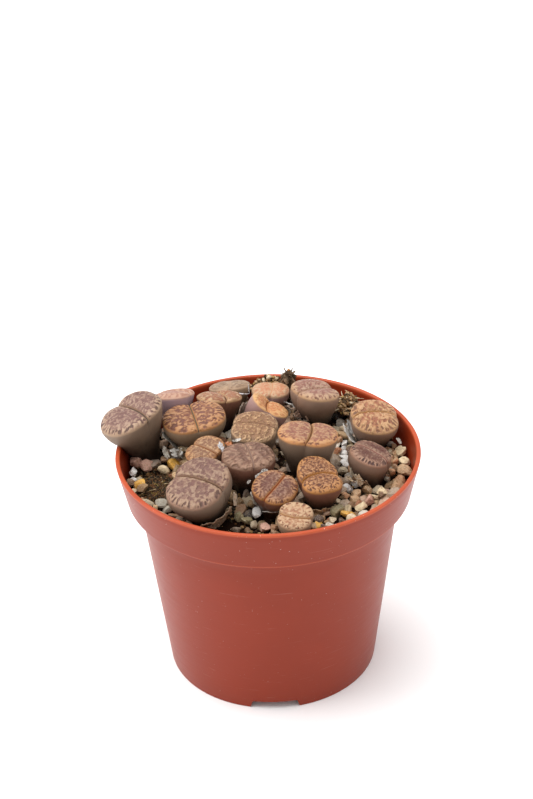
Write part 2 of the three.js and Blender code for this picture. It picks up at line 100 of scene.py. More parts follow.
# Heads, one line each, with the same meaning as in the part: the face's middle and height, how far
# and which way it tips over, the cleft's direction, the face's half widths along and across the
# cleft, and the root. Then the form: waist at the gravel, taper, pinch at the cleft's ends, bow and
# offset of the cleft, droop, and fold, how far the leaves slope down to the cleft. Only here: lobe,
# how far each leaf swells beside the cleft, and slit, the share of the usual depth that is cut.
USUAL_FORM = {"waist": 0.6, "taper": 1.3, "droop": 0, "pinch": 0.06, "bow": 0, "offset": 0, "fold": 0,
              "lobe": 0.05, "slit": 1}
HEADS = [
    dict(at=(-54.4, 14, 107.6), lean=21, towards=193, fissure=132, along=12.1, across=13.2,
         root=(-45, 13), waist=0.42, droop=1, pinch=0.1, bow=0.06, offset=-0.15, lobe=0.1),
    dict(at=(-38, 34.3, 102.8), lean=21, towards=100, fissure=158, along=8.4, across=8.8,
         root=(-36, 31.5), waist=0.5, taper=0.8, offset=-0.35),
    dict(at=(-29.2, 16, 103.2), lean=7, towards=248, fissure=103, along=10.2, across=12.8,
         root=(-28, 20), waist=0.55, taper=1.4, pinch=0.09, lobe=0.08, slit=0.6),
    dict(at=(-15.3, 48.9, 97.6), lean=14, towards=111, fissure=92, along=6.5, across=8.6,
         root=(-13.5, 44.5), taper=1, pinch=0.04, lobe=0.02, slit=0.06),
    dict(at=(-19.1, 34.6, 101), lean=13, towards=69, fissure=113, along=7.1, across=9.5,
         root=(-19.5, 34), taper=0.9, pinch=0.08, offset=-0.2, lobe=0.08),
    dict(at=(1.8, 45, 97.4), lean=5, towards=69, fissure=87, along=7.6, across=7.9,
         root=(1.5, 43.5), taper=1.2, pinch=0.12, offset=-0.1, lobe=0.03, slit=0.1),
    dict(at=(2.3, 25.4, 102), lean=32, towards=6, fissure=84, along=6.8, across=8.3,
         root=(-7, 27), waist=0.8, taper=1.9, pinch=0.12, offset=0.15, fold=0.25, lobe=0.06),
    dict(at=(19.9, 34.5, 103), lean=10, towards=50, fissure=26, along=9.4, across=11,
         root=(20, 37), taper=1.5, pinch=0.1, offset=0.08, lobe=0.13),
    dict(at=(43.1, 16.7, 100.2), lean=13, towards=302, fissure=6, along=9.9, across=10.1,
         root=(42, 17.5), taper=1.6, pinch=0.04, offset=0.2, lobe=0.04),
    dict(at=(-5, 8.7, 102), lean=8, towards=281, fissure=170, along=9.6, across=9.7,
         root=(-6, 10), waist=0.65, taper=1.5, offset=-0.1, pinch=0.05, lobe=0.03),
    dict(at=(15.8, -4.2, 106.2), lean=4, towards=10, fissure=81, along=9.3, across=11.8,
         root=(16.5, -2.5), taper=1, pinch=0.14, offset=-0.12, lobe=0.06),
    dict(at=(40.2, -9, 98.8), lean=15, towards=336, fissure=150, along=8.3, across=7.7,
         root=(40.5, -9), waist=0.75, taper=2, pinch=0.04, offset=-0.1, lobe=0.02, slit=0.5),
    dict(at=(-24.6, -4.6, 100), lean=13, towards=232, fissure=140, along=7.2, across=8.1,
         root=(-23.5, -2.5), pinch=0.07, offset=-0.03),
    dict(at=(-7.5, -12.6, 102), lean=5, towards=315, fissure=104, along=9.3, across=10.4,
         root=(-7.5, -11), taper=1.5, pinch=0.05, offset=-0.05, lobe=0.03, slit=0.3),
    dict(at=(-26.9, -32.6, 103.3), lean=15, towards=242, fissure=153, along=11.7, across=13.5,
         root=(-22.5, -30.5), taper=1.8, pinch=0.09, offset=-0.12, lobe=0.09),
    dict(at=(2.4, -31.4, 99.2), lean=15, towards=289, fissure=59, along=8.8, across=8.6,
         root=(1.5, -27.5), taper=1.2, pinch=0.04, offset=-0.05, lobe=0.04),
    dict(at=(19.6, -28, 100.2), lean=12, towards=297, fissure=17, along=8.3, across=10.4,
         root=(19.5, -25.5), pinch=0.08, bow=0.25, offset=0, lobe=0.08),
    dict(at=(9.5, -47, 96.4), lean=12, towards=274, fissure=166, along=6.8, across=7.4,
         root=(9, -43.5), waist=0.75, taper=1.7, pinch=0.05, bow=0.05, offset=0.2),
]
HEADS = [{**USUAL_FORM, **head} for head in HEADS]
SHOULDER = 0.2
OUTLINE_POWER = 2.3
CROWN = 0.06
BELLY = 0.05
CLEFT_DEPTH = 0.11
CLEFT_WIDTH = 0.5
CREASE_DEPTH = 0.5
CREASE_WIDTH = 0.75
CREASE_LENGTH = 0.42
ROOT_WIDTH = 0.4

# How each head is coloured and marked. island: the ground of the face. dusk: its windows and
# blotches. tooth: the darkest marks. edge: the margin. lip: beside the cleft. slit: in the cleft,
# partly the fissure's own colour and partly painted shade in it.
# side and base: the body below the margin and at the gravel; the base is darker partly in the
# skin's own colour and partly as painted shade near the gravel. cell: millimetres between marks.
# cover: how much of the face they take. net: 0 where they are spots, 1 where they are lines. comb:
# how far they are drawn out across the cleft. haze: how much the middle of each leaf turns to dusk.
# mark and teeth: how strong the marks are inside and at the margin. reach: how far in the marks are
# drawn out from the margin. relief: how far they are sunk, in millimetres.
USUAL_LOOK = {"cell": 2.2, "cover": 0.35, "net": 0.1, "comb": 0.2, "haze": 0.25, "mark": 0.75,
              "teeth": 0.8, "reach": 2.6, "relief": 0.22}
# The tints are the colours seen under the lamps; the skins themselves reflect this share of them.
PIGMENT = 0.645
TINTS = {
    "apricot": "f8c080", "copper": "e8a060", "honey": "e8b480", "cream": "e0b890", "shell": "dcac90",
    "sand": "d4b094", "biscuit": "d8a878", "amber": "d89860", "ochre": "d08c48", "fawn": "c4a080",
    "clay": "c09074", "dun": "b08870",
    "ember": "d86030", "flame": "c04820", "henna": "a03018", "russet": "a85830", "brick": "a04838",
    "rosewood": "9c5850", "rust": "8c3c28", "brown": "805040", "plum": "703c44", "cocoa": "6c4840",
    "chestnut": "683428", "wine": "542024", "umber": "543824", "soot": "401c1c",
    "lilac": "d0b0b8", "pinkish": "b89088", "buff": "b4987c", "mushroom": "a48470", "taupe": "98806c",
    "cinnamon": "946450",
}
LOOKS = [
    dict(island="sand", dusk="plum", tooth="soot", edge="fawn", lip="dun", slit="6c5e50",
         side="taupe", base="2a1c14", cell=1.9, cover=0.42, net=0.15, haze=0.4, mark=0.72,
         teeth=0.95, reach=3.0, relief=0.28),
    dict(island="shell", dusk="rosewood", tooth="rust", edge="shell", lip="shell", slit="8a6050",
         side="lilac", base="5a4048", cell=2.6, net=0.4, mark=0.7, teeth=0.7),
    dict(island="amber", dusk="plum", tooth="wine", edge="amber", lip="amber", slit="6b5d46",
         side="buff", base="33251a", cover=0.4, net=0.15, comb=0.45, haze=0.1, mark=0.9,
         teeth=0.95, reach=4.2, cell=2.1, relief=0.36),
    dict(island="fawn", dusk="umber", tooth="umber", edge="fawn", lip="fawn", slit="b4947a",
         side="buff", base="4a3424", cell=1.8, net=0.3, comb=0.3, haze=0.1, mark=0.6, teeth=0.6),
    dict(island="cream", dusk="russet", tooth="rust", edge="biscuit", lip="biscuit", slit="6c4030",
         side="cinnamon", base="2c1410", cell=2.0, cover=0.6, relief=0.55, mark=0.8, net=0.3),
    dict(island="cream", dusk="ember", tooth="flame", edge="cream", lip="cream", slit="dc9a70",
         side="pinkish", base="4c3028", cell=2.0, cover=0.25, net=0.2, mark=0.5, teeth=0.6),
    dict(island="apricot", dusk="ember", tooth="henna", edge="apricot", lip="copper", slit="a05a30",
         side="pinkish", base="3c2822", cell=1.7, cover=0.3, net=0.3, haze=0.1, mark=0.85, teeth=0.7,
         relief=0.3),
    dict(island="sand", dusk="rosewood", tooth="chestnut", edge="biscuit", lip="clay", slit="6c4e34",
         side="mushroom", base="1e130e", cell=1.9, cover=0.36, haze=0.35, mark=0.7, teeth=0.85,
         comb=0.1, reach=1.7, relief=0.28),
    dict(island="honey", dusk="brick", tooth="wine", edge="honey", lip="honey", slit="b07c2c",
         side="mushroom", base="2c1c12", cell=2.3, net=0.2, comb=0.5, haze=0.1, mark=0.85, teeth=0.9,
         reach=3.6, relief=0.6, cover=0.33),
    dict(island="honey", dusk="brown", tooth="umber", edge="cream", lip="clay", slit="6c5030",
         side="taupe", base="3c2a18", cell=2.5, net=0.2, haze=0.1, mark=0.8, teeth=0.8, relief=0.8,
         cover=0.42, comb=0.0, reach=1.3),
    dict(island="biscuit", dusk="rosewood", tooth="chestnut", edge="copper", lip="biscuit", slit="8c5c34",
         side="taupe", base="3a2a24", cell=2.0, cover=0.36, haze=0.35, mark=0.8, teeth=0.95,
         reach=1.9, relief=0.28),
    dict(island="dun", dusk="chestnut", tooth="soot", edge="clay", lip="dun", slit="8a4c40",
         side="mushroom", base="38261f", cover=0.45, haze=0.85, teeth=1.0, reach=2.4, mark=0.6,
         cell=1.7, relief=0.28, comb=0.0),
    dict(island="biscuit", dusk="brown", tooth="chestnut", edge="amber", lip="clay", slit="9c6230",
         side="mushroom", base="3a2416", cell=1.8, net=0.3, haze=0.4, relief=0.36, mark=1.0,
         teeth=0.9),
    dict(island="clay", dusk="cocoa", tooth="umber", edge="dun", lip="dun", slit="8c6a5a",
         side="cinnamon", base="160d0a", cell=3.2, net=0.15, haze=0.4, mark=0.6, teeth=0.6, reach=3.0,
         relief=0.9, cover=0.42, comb=0.3),
    dict(island="fawn", dusk="plum", tooth="soot", edge="dun", lip="dun", slit="6c5038",
         side="taupe", base="2c1c16", cell=2.2, cover=0.4, net=0.05, haze=0.35, mark=0.65,
         teeth=0.82, relief=0.34),
    dict(island="clay", dusk="chestnut", tooth="wine", edge="ochre", lip="ochre", slit="9c4a22",
         side="cinnamon", base="38200f", cell=1.8, haze=0.55, mark=0.85, reach=2.2, teeth=0.95,
         relief=0.28),
    dict(island="amber", dusk="chestnut", tooth="soot", edge="ochre", lip="ochre", slit="9c6a1c",
         side="cinnamon", base="26150c", cell=1.6, cover=0.32, net=0.0, haze=0.25, mark=0.9,
         teeth=0.85, comb=0.0, reach=1.6),
    dict(island="cream", dusk="russet", tooth="chestnut", edge="cream", lip="biscuit", slit="b07848",
         side="buff", base="7a5c48", cell=2.0, cover=0.28, net=0.1, haze=0.1, mark=0.75,
         teeth=1.0, reach=2.6, relief=0.28),
]
LOOKS = [{**USUAL_LOOK, **look} for look in LOOKS]

# Papery sheaths: the head, the degrees round it counted from its cleft, the torn edge's height above
# the gravel, the flare outwards at that edge, and the paper's colour.
SHEATHS = [
    dict(head=3, start=66, end=112, rise=9.5, flare=0.5, paper="f0eade"),
    dict(head=9, start=160, end=240, rise=7, flare=2.0, paper="ddd8d0"),
    dict(head=15, start=115, end=195, rise=6, flare=1.6, paper="c2a284"),
    dict(head=16, start=40, end=125, rise=6.2, flare=1.0, paper="d8cdbd"),
    dict(head=17, start=170, end=320, rise=3.2, flare=0.9, paper="c09c74"),
    dict(head=14, start=290, end=385, rise=9, flare=0.8, paper="e0d8ce"),
    dict(head=7, start=30, end=115, rise=8, flare=1.2, paper="9c8878"),
    dict(head=8, start=160, end=235, rise=4.5, flare=1.2, paper="8c7a6a"),
    dict(head=12, start=60, end=125, rise=3.6, flare=1.2, paper="b89878"),
]


def paint(code):
    """A colour's linear red, green and blue, from its six-digit code or the name of its tint."""
    code = TINTS.get(code, code)
    parts = [int(code[i:i + 2], 16) / 255 for i in (0, 2, 4)]
    return [c / 12.92 if c <= 0.04045 else ((c + 0.055) / 1.055) ** 2.4 for c in parts]


def blend(a, b, share):
    return a + (b - a) * share


def ease(value, low, high):
    """0 at low, 1 at high, and smooth between; low may be the larger."""
    share = min(max((value - low) / (high - low), 0), 1)
    return share * share * (3 - 2 * share)


def outer_collar(z):
    return blend(COLLAR_FOOT_RADIUS, RIM_RADIUS, (z - STEP_HEIGHT) / COLLAR_HEIGHT)


def inner_collar(z):
    return outer_collar(z) - blend(WALL, LIP_WALL, (z - STEP_HEIGHT) / COLLAR_HEIGHT)


def outer_body(z):
    return blend(BASE_RADIUS, BODY_TOP_RADIUS, z / STEP_HEIGHT)


# Shader nodes


def place(tree, kind, values=None, **settings):
    """Adds a node. values gives its sockets, by name or number, a value or another node's output."""
    node = tree.nodes.new(kind)
    for key, value in settings.items():
        setattr(node, key, value)
    for key, value in (values or {}).items():
        if isinstance(value, bpy.types.NodeSocket):
            tree.links.new(value, node.inputs[key])
        else:
            node.inputs[key].default_value = value
    return node


def sum_of(tree, operation, a, b=0.0, c=0.0):
    values = {0: a, 1: b, 2: c}
    return place(tree, "ShaderNodeMath", values, operation=operation).outputs[0]


def shades(tree, share, a, b, how="MIX"):
    values = {0: share, 6: a, 7: b}
    return place(tree, "ShaderNodeMix", values, data_type="RGBA", blend_type=how).outputs[2]


def spread(tree, x, y, z):
    return place(tree, "ShaderNodeCombineXYZ", {0: x, 1: y, 2: z}).outputs[0]


def mixed(tree, share, a, b):
    return place(tree, "ShaderNodeMix", {0: share, 2: a, 3: b}).outputs[0]


def times(tree, *values):
    product = values[0]
    for value in values[1:]:
        product = sum_of(tree, "MULTIPLY", product, value)
    return product


def step(tree, value, low, high, start=0.0, end=1.0):
    """Runs smoothly from start, where value is low, to end, where it is high."""
    values = {0: value, 1: low, 2: high, 3: start, 4: end}
    kind = "ShaderNodeMapRange"
    return place(tree, kind, values, interpolation_type="SMOOTHSTEP").outputs[0]


def grain(tree, where, scale, detail=2.0, rough=0.5, warp=0.0):
    values = {"Vector": where, "Scale": scale, "Detail": detail, "Roughness": rough, "Distortion": warp}
    return place(tree, "ShaderNodeTexNoise", values).outputs[0]


def millimetres(tree, scale=(1, 1, 1)):
    """The piece's own coordinates in millimetres."""
    spot = place(tree, "ShaderNodeTexCoord").outputs["Object"]
    values = {"Vector": spot, "Scale": [share / MM for share in scale]}
    return place(tree, "ShaderNodeMapping", values).outputs[0]


def attribute(tree, name):
    return place(tree, "ShaderNodeAttribute", attribute_name=name)


def opaque(colour):
    return [*colour, 1]


def new_group(name, inputs, outputs):
    """An empty node group. inputs and outputs are (name, type, default) triples."""
    group = bpy.data.node_groups.new(name, "ShaderNodeTree")
    for direction, sockets in (("INPUT", inputs), ("OUTPUT", outputs)):
        for socket_name, kind, default in sockets:
            socket = group.interface.new_socket(socket_name, in_out=direction, socket_type=kind)
            if default is not None:
                socket.default_value = default
    return group, group.nodes.new("NodeGroupInput").outputs, group.nodes.new("NodeGroupOutput").inputs


def new_material(name):
    made = bpy.data.materials.new(name)
    made.use_nodes = True
    made.node_tree.nodes.clear()
    shader = made.node_tree.nodes.new("ShaderNodeBsdfPrincipled")
    output = made.node_tree.nodes.new("ShaderNodeOutputMaterial")
    made.node_tree.links.new(shader.outputs[0], output.inputs[0])
    return made, made.node_tree, shader


def bump(tree, shader, height, distance, strength=1.0):
    """distance is how many millimetres a height of 1 stands for."""
    values = {"Height": height, "Distance": distance * MM, "Strength": strength}
    tree.links.new(place(tree, "ShaderNodeBump", values).outputs[0], shader.inputs["Normal"])


COLOUR, VALUE = "NodeSocketColor", "NodeSocketFloat"


SKIN_COLOURS = ("Island", "Dusk", "Tooth", "Edge", "Lip", "Slit", "Side", "Base")
SKIN_VALUES = ("Cell", "Cover", "Net", "Comb", "Haze", "Mark", "Teeth", "Reach")


def leaf_group():
    """The skin of a leaf pair. It reads what each point stores: face is its place in the face's
    plane, and form is the distance to the margin, the distance to the cleft and the share of the
    way down; run is the way round the margin. All but the share are in millimetres."""
    found = bpy.data.node_groups.get("leaf skin")
    if found:
        return found
    sockets = [(name, COLOUR, None) for name in SKIN_COLOURS]
    sockets += [(name, VALUE, 0.5) for name in (*SKIN_VALUES, "Seed")]
    results = [("Color", COLOUR, None), ("Roughness", VALUE, None), ("Height", VALUE, None)]
    tree, given, result = new_group("leaf skin", sockets, results)
    spot = millimetres(tree)
    face = attribute(tree, "face").outputs["Vector"]
    run = attribute(tree, "run").outputs["Fac"]
    rim, cleft, down = place(tree, "ShaderNodeSeparateXYZ",
                             {0: attribute(tree, "form").outputs["Vector"]}).outputs
    seed, reach = given["Seed"], given["Reach"]
    fine = grain(tree, spot, 1.6, 3, 0.6)
    broad = grain(tree, spot, 0.3, 2, 0.5)
    speck = grain(tree, spot, 3.6, 2, 0.6)
    jitter = sum_of(tree, "MULTIPLY_ADD", fine, 0.9, -0.45)

    # Three fields of blotches: over the face, across the margin and across the cleft
    bent = place(tree, "ShaderNodeTexNoise", {"Vector": spot, "Scale": 0.5, "Detail": 2.0}).outputs[1]
    bent = place(tree, "ShaderNodeVectorMath", {0: bent, 1: (0.5, 0.5, 0.5)}, operation="SUBTRACT").outputs[0]
    bent = place(tree, "ShaderNodeVectorMath", {0: bent, 1: (2.0, 2.0, 0), 2: face},
                 operation="MULTIPLY_ADD").outputs[0]
    x, y, _ = place(tree, "ShaderNodeSeparateXYZ", {0: bent}).outputs
    often = sum_of(tree, "DIVIDE", 1.7, given["Cell"])
    long = times(tree, often, sum_of(tree, "MULTIPLY_ADD", given["Comb"], -0.62, 1.0))
    over = grain(tree, spread(tree, times(tree, x, often), times(tree, y, long), seed), 1.0, 1.4, 0.5, 0.15)
    ragged = times(tree, reach, step(tree, broad, 0.3, 0.7, 0.7, 1.3))

    def toothed(way, inward, shift):
        """Blotches that come at even steps along an edge and thin out inwards."""
        strewn = spread(tree, times(tree, sum_of(tree, "ADD", way, jitter), often, 1.1),
                        times(tree, sum_of(tree, "ADD", inward, jitter), often, 0.6),
                        sum_of(tree, "ADD", seed, shift))
        strewn = grain(tree, strewn, 1.0, 1.2, 0.5)
        steps = sum_of(tree, "DIVIDE", times(tree, way, 2 * pi), given["Cell"])
        steps = sum_of(tree, "SINE", sum_of(tree, "MULTIPLY_ADD", strewn, 12.0, steps))
        strewn = sum_of(tree, "MULTIPLY_ADD", steps, 0.07, sum_of(tree, "MULTIPLY_ADD", strewn, 1.1, -0.065))
        return sum_of(tree, "SUBTRACT", strewn, step(tree, inward, 0.5, ragged, 0.0, 0.07))

    around = toothed(run, rim, 7.3)
    beside = toothed(x, cleft, 3.1)
    near_rim = step(tree, rim, ragged, times(tree, ragged, 0.45))
    near_cleft = step(tree, cleft, times(tree, ragged, 0.8), times(tree, ragged, 0.3))
    field = mixed(tree, near_rim, mixed(tree, near_cleft, over, beside), around)

    # Marks: spots where the field is high, or a net of lines where it crosses its middle
    low = sum_of(tree, "MULTIPLY_ADD", given["Cover"], -0.3, 0.615)
    soft = step(tree, field, sum_of(tree, "SUBTRACT", low, 0.14), sum_of(tree, "ADD", low, 0.13))
    crisp = step(tree, field, sum_of(tree, "SUBTRACT", low, 0.04), sum_of(tree, "ADD", low, 0.07))
    spots = mixed(tree, step(tree, rim, times(tree, ragged, 1.7), ragged), soft, crisp)
    crossing = sum_of(tree, "ABSOLUTE", sum_of(tree, "SUBTRACT", field, 0.5))
    wide = times(tree, given["Cover"], step(tree, grain(tree, face, 0.8, 2, 0.5), 0.38, 0.62, 0.06, 0.27))
    lines = step(tree, crossing, wide, 0.0)
    mark = mixed(tree, given["Net"], spots, lines)
    clear = times(tree, step(tree, sum_of(tree, "ADD", rim, jitter), 0.0, 0.6),
                  step(tree, sum_of(tree, "ADD", cleft, jitter), 0.35, 0.75))
    strength = mixed(tree, near_rim, given["Mark"], given["Teeth"])
    amount = times(tree, mark, clear, strength, step(tree, broad, 0.25, 0.5, 0.55, 1.0))
    core = step(tree, field, sum_of(tree, "ADD", low, 0.015), sum_of(tree, "ADD", low, 0.1))
    core = sum_of(tree, "MAXIMUM", core, times(tree, given["Net"], step(tree, crossing, 0.03, 0.005)))
    dark = times(tree, core, mixed(tree, near_rim, step(tree, fine, 0.4, 0.62, 0.0, 0.7), 1.0))

    # Island middles turn paler: partly the skin's own paler middles and partly a painted highlight on the
    # raised knobs.
    ground = shades(tree, step(tree, field, 0.5, 0.38, 0.0, 0.3), given["Island"],
                    shades(tree, 0.35, given["Island"], (0.85, 0.7, 0.52, 1)))
    ground = shades(tree, step(tree, broad, 0.62, 0.35, 0.0, 0.22), ground, given["Dusk"])
    ground = shades(tree, step(tree, speck, 0.5, 0.75, 0.0, 0.28), ground, given["Dusk"])
    heart = times(tree, step(tree, rim, 1.2, 3.8), step(tree, cleft, 0.7, 2.4), given["Haze"],
                  step(tree, sum_of(tree, "ADD", broad, times(tree, fine, 0.4)), 0.52, 0.78, 0.35, 1.1))
    ground = shades(tree, heart, ground, given["Dusk"])
    lip = step(tree, sum_of(tree, "ADD", cleft, jitter), 1.0, 0.3, 0.0, 0.75)
    ground = shades(tree, lip, ground, given["Lip"])
    glow = times(tree, step(tree, rim, 4.2, 0.6, 0.0, 0.5), step(tree, broad, 0.3, 0.6, 0.5, 1.0))
    ground = shades(tree, glow, ground, given["Edge"])
    edge = step(tree, sum_of(tree, "ADD", rim, jitter), 1.3, 0.0, 0.0, 0.7)
    ground = shades(tree, edge, ground, given["Edge"])
    stain = shades(tree, dark, given["Dusk"], given["Tooth"])
    ground = shades(tree, amount, ground, stain)

    # The flank darkens towards the gravel: partly the skin's own colour, partly painted shade where the
    # gravel and neighbouring heads hide the light.
    lower = sum_of(tree, "MULTIPLY_ADD", sum_of(tree, "SUBTRACT", broad, 0.5), 0.16, down)
    flank = shades(tree, step(tree, lower, 0.1, 0.0, 0.0, 0.2), given["Side"], given["Edge"])
    flank = shades(tree, step(tree, lower, 0.08, 0.95), flank, given["Base"])
    flank = shades(tree, step(tree, speck, 0.55, 0.8, 0.0, 0.12), flank, given["Dusk"])
    on_face = step(tree, sum_of(tree, "ADD", rim, times(tree, jitter, 0.5)), -0.45, 0.25)
    skin = shades(tree, on_face, flank, ground)
    # The cleft takes the slit colour: partly the fissure's own colour, partly painted shade inside it.
    skin = shades(tree, step(tree, cleft, 0.42, 0.12), skin, given["Slit"])
    tree.links.new(skin, result["Color"])
    tree.links.new(step(tree, fine, 0.2, 0.8, 0.42, 0.58), result["Roughness"])
    swelling = mixed(tree, given["Net"], sum_of(tree, "SUBTRACT", 0.5, field),
                     sum_of(tree, "SUBTRACT", sum_of(tree, "MINIMUM", crossing, 0.15), 0.08))
    raised = times(tree, swelling, clear, on_face, 3.0)
    raised = sum_of(tree, "MULTIPLY_ADD", amount, -0.5, raised)
    height = sum_of(tree, "MULTIPLY_ADD", speck, 0.2, sum_of(tree, "MULTIPLY_ADD", fine, 0.25, raised))
    tree.links.new(height, result["Height"])
    return tree


def leaf_material(number, look):
    made, tree, shader = new_material(f"leaf skin {number:02d}")
    values = {name: opaque([c * PIGMENT for c in paint(look[name.lower()])]) for name in SKIN_COLOURS}
    values |= {name: look[name.lower()] for name in SKIN_VALUES}
    values["Seed"] = 13.7 * number
    skin = place(tree, "ShaderNodeGroup", values, node_tree=leaf_group())
    tree.links.new(skin.outputs["Color"], shader.inputs["Base Color"])
    tree.links.new(skin.outputs["Roughness"], shader.inputs["Roughness"])
    shader.inputs["Specular IOR Level"].default_value = 0.33
    bump(tree, shader, skin.outputs["Height"], look["relief"], 0.9)
    return made


def mottle_group():
    """Blotches and specks that break up a colour: stone, soil, paper and straw share it."""
    found = bpy.data.node_groups.get("mottle")
    if found:
        return found
    sockets = [("Color", COLOUR, None), ("Dark", COLOUR, None), ("Light", COLOUR, None),
               ("Scale", VALUE, 1.0), ("Amount", VALUE, 0.5), ("Seed", VALUE, 0.0)]
    results = [("Color", COLOUR, None), ("Height", VALUE, None)]
    tree, given, result = new_group("mottle", sockets, results)
    spot = place(tree, "ShaderNodeVectorMath", {0: millimetres(tree), 1: given["Seed"]},
                 operation="ADD").outputs[0]
    broad = grain(tree, spot, given["Scale"], 3, 0.6)
    fine = grain(tree, spot, times(tree, given["Scale"], 4.0), 3, 0.65)
    dark = times(tree, step(tree, broad, 0.52, 0.3), given["Amount"])
    light = times(tree, step(tree, fine, 0.52, 0.72), given["Amount"])
    colour = shades(tree, dark, given["Color"], given["Dark"])
    tree.links.new(shades(tree, light, colour, given["Light"]), result["Color"])
    both = sum_of(tree, "MULTIPLY_ADD", fine, 0.5, broad)
    tree.links.new(both, result["Height"])
    return tree


def add_mottle(tree, colour, dark, light, scale, amount, seed=0.0):
    """Places the mottle group and returns its outputs."""
    values = {"Color": colour, "Dark": dark, "Light": light, "Scale": scale, "Amount": amount,
              "Seed": seed}
    return place(tree, "ShaderNodeGroup", values, node_tree=mottle_group()).outputs


def pot_material(settings):
    """Satin plastic: even colour, a lip brightened by painted glow where light shines through the thin
    plastic, a painted highlight along the collar's foot, faint moulding rings, scuffs and dust.
    """
    made, tree, shader = new_material("terracotta plastic")
    spot = millimetres(tree)
    x, y, z = place(tree, "ShaderNodeSeparateXYZ", {0: spot}).outputs
    around = times(tree, sum_of(tree, "ARCTAN2", y, x), 14.0)
    out = sum_of(tree, "SQRT", sum_of(tree, "ADD", times(tree, x, x), times(tree, y, y)))
    wrapped = spread(tree, around, out, z)
    broad = grain(tree, spot, 0.05, 3, 0.55)
    rings = grain(tree, place(tree, "ShaderNodeVectorMath", {0: wrapped, 1: (0.05, 1.0, 1.6)},
                              operation="MULTIPLY").outputs[0], 1.0, 2, 0.6)
    scuffs = grain(tree, place(tree, "ShaderNodeVectorMath", {0: wrapped, 1: (0.35, 1.0, 2.4)},
                               operation="MULTIPLY").outputs[0], 0.5, 4, 0.7, 0.4)
    dust = grain(tree, spot, 1.15, 2, 0.5)
    base = opaque(settings.colour)
    tone = shades(tree, step(tree, broad, 0.3, 0.7, 0.0, 0.35), base,
                  opaque([c * 0.86 for c in settings.colour]))
    tone = shades(tree, step(tree, scuffs, 0.62, 0.78, 0.0, 0.22), tone, (0.62, 0.36, 0.3, 1))
    # Painted glow: the top of the lip takes a brighter colour for light shining through the thin plastic.
    lip = times(tree, step(tree, z, POT_HEIGHT - 1.5, POT_HEIGHT - 0.4),
                step(tree, broad, 0.3, 0.6, 0.75, 1.0))
    tone = shades(tree, lip, tone, opaque(settings.painted_glow_colour))
    # Painted highlight: a thin light line along the collar's foot, where its rounded edge catches light from
    # below.
    foot = times(tree, step(tree, z, STEP_HEIGHT - 0.1, STEP_HEIGHT + 0.1),
                 step(tree, z, STEP_HEIGHT + 1.0, STEP_HEIGHT + 0.4, 0.0, 0.4), step(tree, out, 54, 55.5))
    tone = shades(tree, foot, tone, opaque(settings.painted_glow_colour))
    dusty = times(tree, step(tree, dust, 0.735, 0.765), step(tree, z, STEP_HEIGHT, POT_HEIGHT, 0.2, 0.75))
    tone = shades(tree, dusty, tone, (0.85, 0.72, 0.66, 1))
    tree.links.new(tone, shader.inputs["Base Color"])
    rough = sum_of(tree, "MULTIPLY_ADD", scuffs, 0.25, 0.26)
    tree.links.new(rough, shader.inputs["Roughness"])
    shader.inputs["Specular IOR Level"].default_value = 0.25
    height = sum_of(tree, "MULTIPLY_ADD", rings, 0.4, times(tree, scuffs, 0.6))
    bump(tree, shader, height, 0.05, 0.5)
    return made


def soil_material():
    made, tree, shader = new_material("potting soil")
    outputs = add_mottle(tree, opaque(paint("1e1009")), opaque(paint("080403")),
                         opaque(paint("4a2e1a")), 0.9, 0.8)
    tree.links.new(outputs["Color"], shader.inputs["Base Color"])
    shader.inputs["Roughness"].default_value = 0.95
    shader.inputs["Specular IOR Level"].default_value = 0.08
    bump(tree, shader, outputs["Height"], 0.5, 1.0)
    return made


def stone_material():
    """Quartz grit. Each stone stores its own tint in the attribute stone and its seed in stone_seed."""
    made, tree, shader = new_material("quartz grit")
    tint = attribute(tree, "stone").outputs["Color"]
    own = attribute(tree, "stone_seed").outputs["Fac"]
    outputs = add_mottle(tree, tint, (0.22, 0.12, 0.05, 1), (0.92, 0.82, 0.64, 1), 0.7, 0.5, own)
    tree.links.new(outputs["Color"], shader.inputs["Base Color"])
    tree.links.new(sum_of(tree, "MULTIPLY_ADD", outputs["Height"], 0.3, 0.3), shader.inputs["Roughness"])
    bump(tree, shader, outputs["Height"], 0.45, 1.0)
    return made


def paper_material():
    """Papery skin. Each sheet stores its own tint in the attribute paper."""
    made, tree, shader = new_material("dry leaf paper")
    tint = attribute(tree, "paper").outputs["Color"]
    outputs = add_mottle(tree, tint, opaque(paint("5c4636")), opaque(paint("f6f1e8")), 0.6, 0.6)
    tree.links.new(outputs["Color"], shader.inputs["Base Color"])
    shader.inputs["Roughness"].default_value = 0.8
    shader.inputs["Specular IOR Level"].default_value = 0.25
    ribs = grain(tree, millimetres(tree, (1, 1, 0.25)), 2.4, 3, 0.6)
    bump(tree, shader, sum_of(tree, "ADD", ribs, outputs["Height"]), 0.25, 0.8)
    return made


def litter_material():
    """Straw, moss and crumbs. Each bit stores its own tint in the attribute litter."""
    made, tree, shader = new_material("dry litter")
    tint = attribute(tree, "litter").outputs["Color"]
    outputs = add_mottle(tree, tint, opaque(paint("2a1e14")), opaque(paint("d8c49c")), 1.4, 0.5)
    tree.links.new(outputs["Color"], shader.inputs["Base Color"])
    shader.inputs["Roughness"].default_value = 0.85
    shader.inputs["Specular IOR Level"].default_value = 0.12
    bump(tree, shader, outputs["Height"], 0.25, 0.8)
    return made


# Making pieces


def as_mesh(bm, name):
    """Turns a bmesh into a mesh and frees it."""
    mesh = bpy.data.meshes.new(name)
    bm.to_mesh(mesh)
    bm.free()
    return mesh


def linked(name, data):
    """Puts a new object that holds the data into the scene."""
    made = bpy.data.objects.new(name, data)
    bpy.context.scene.collection.objects.link(made)
    return made


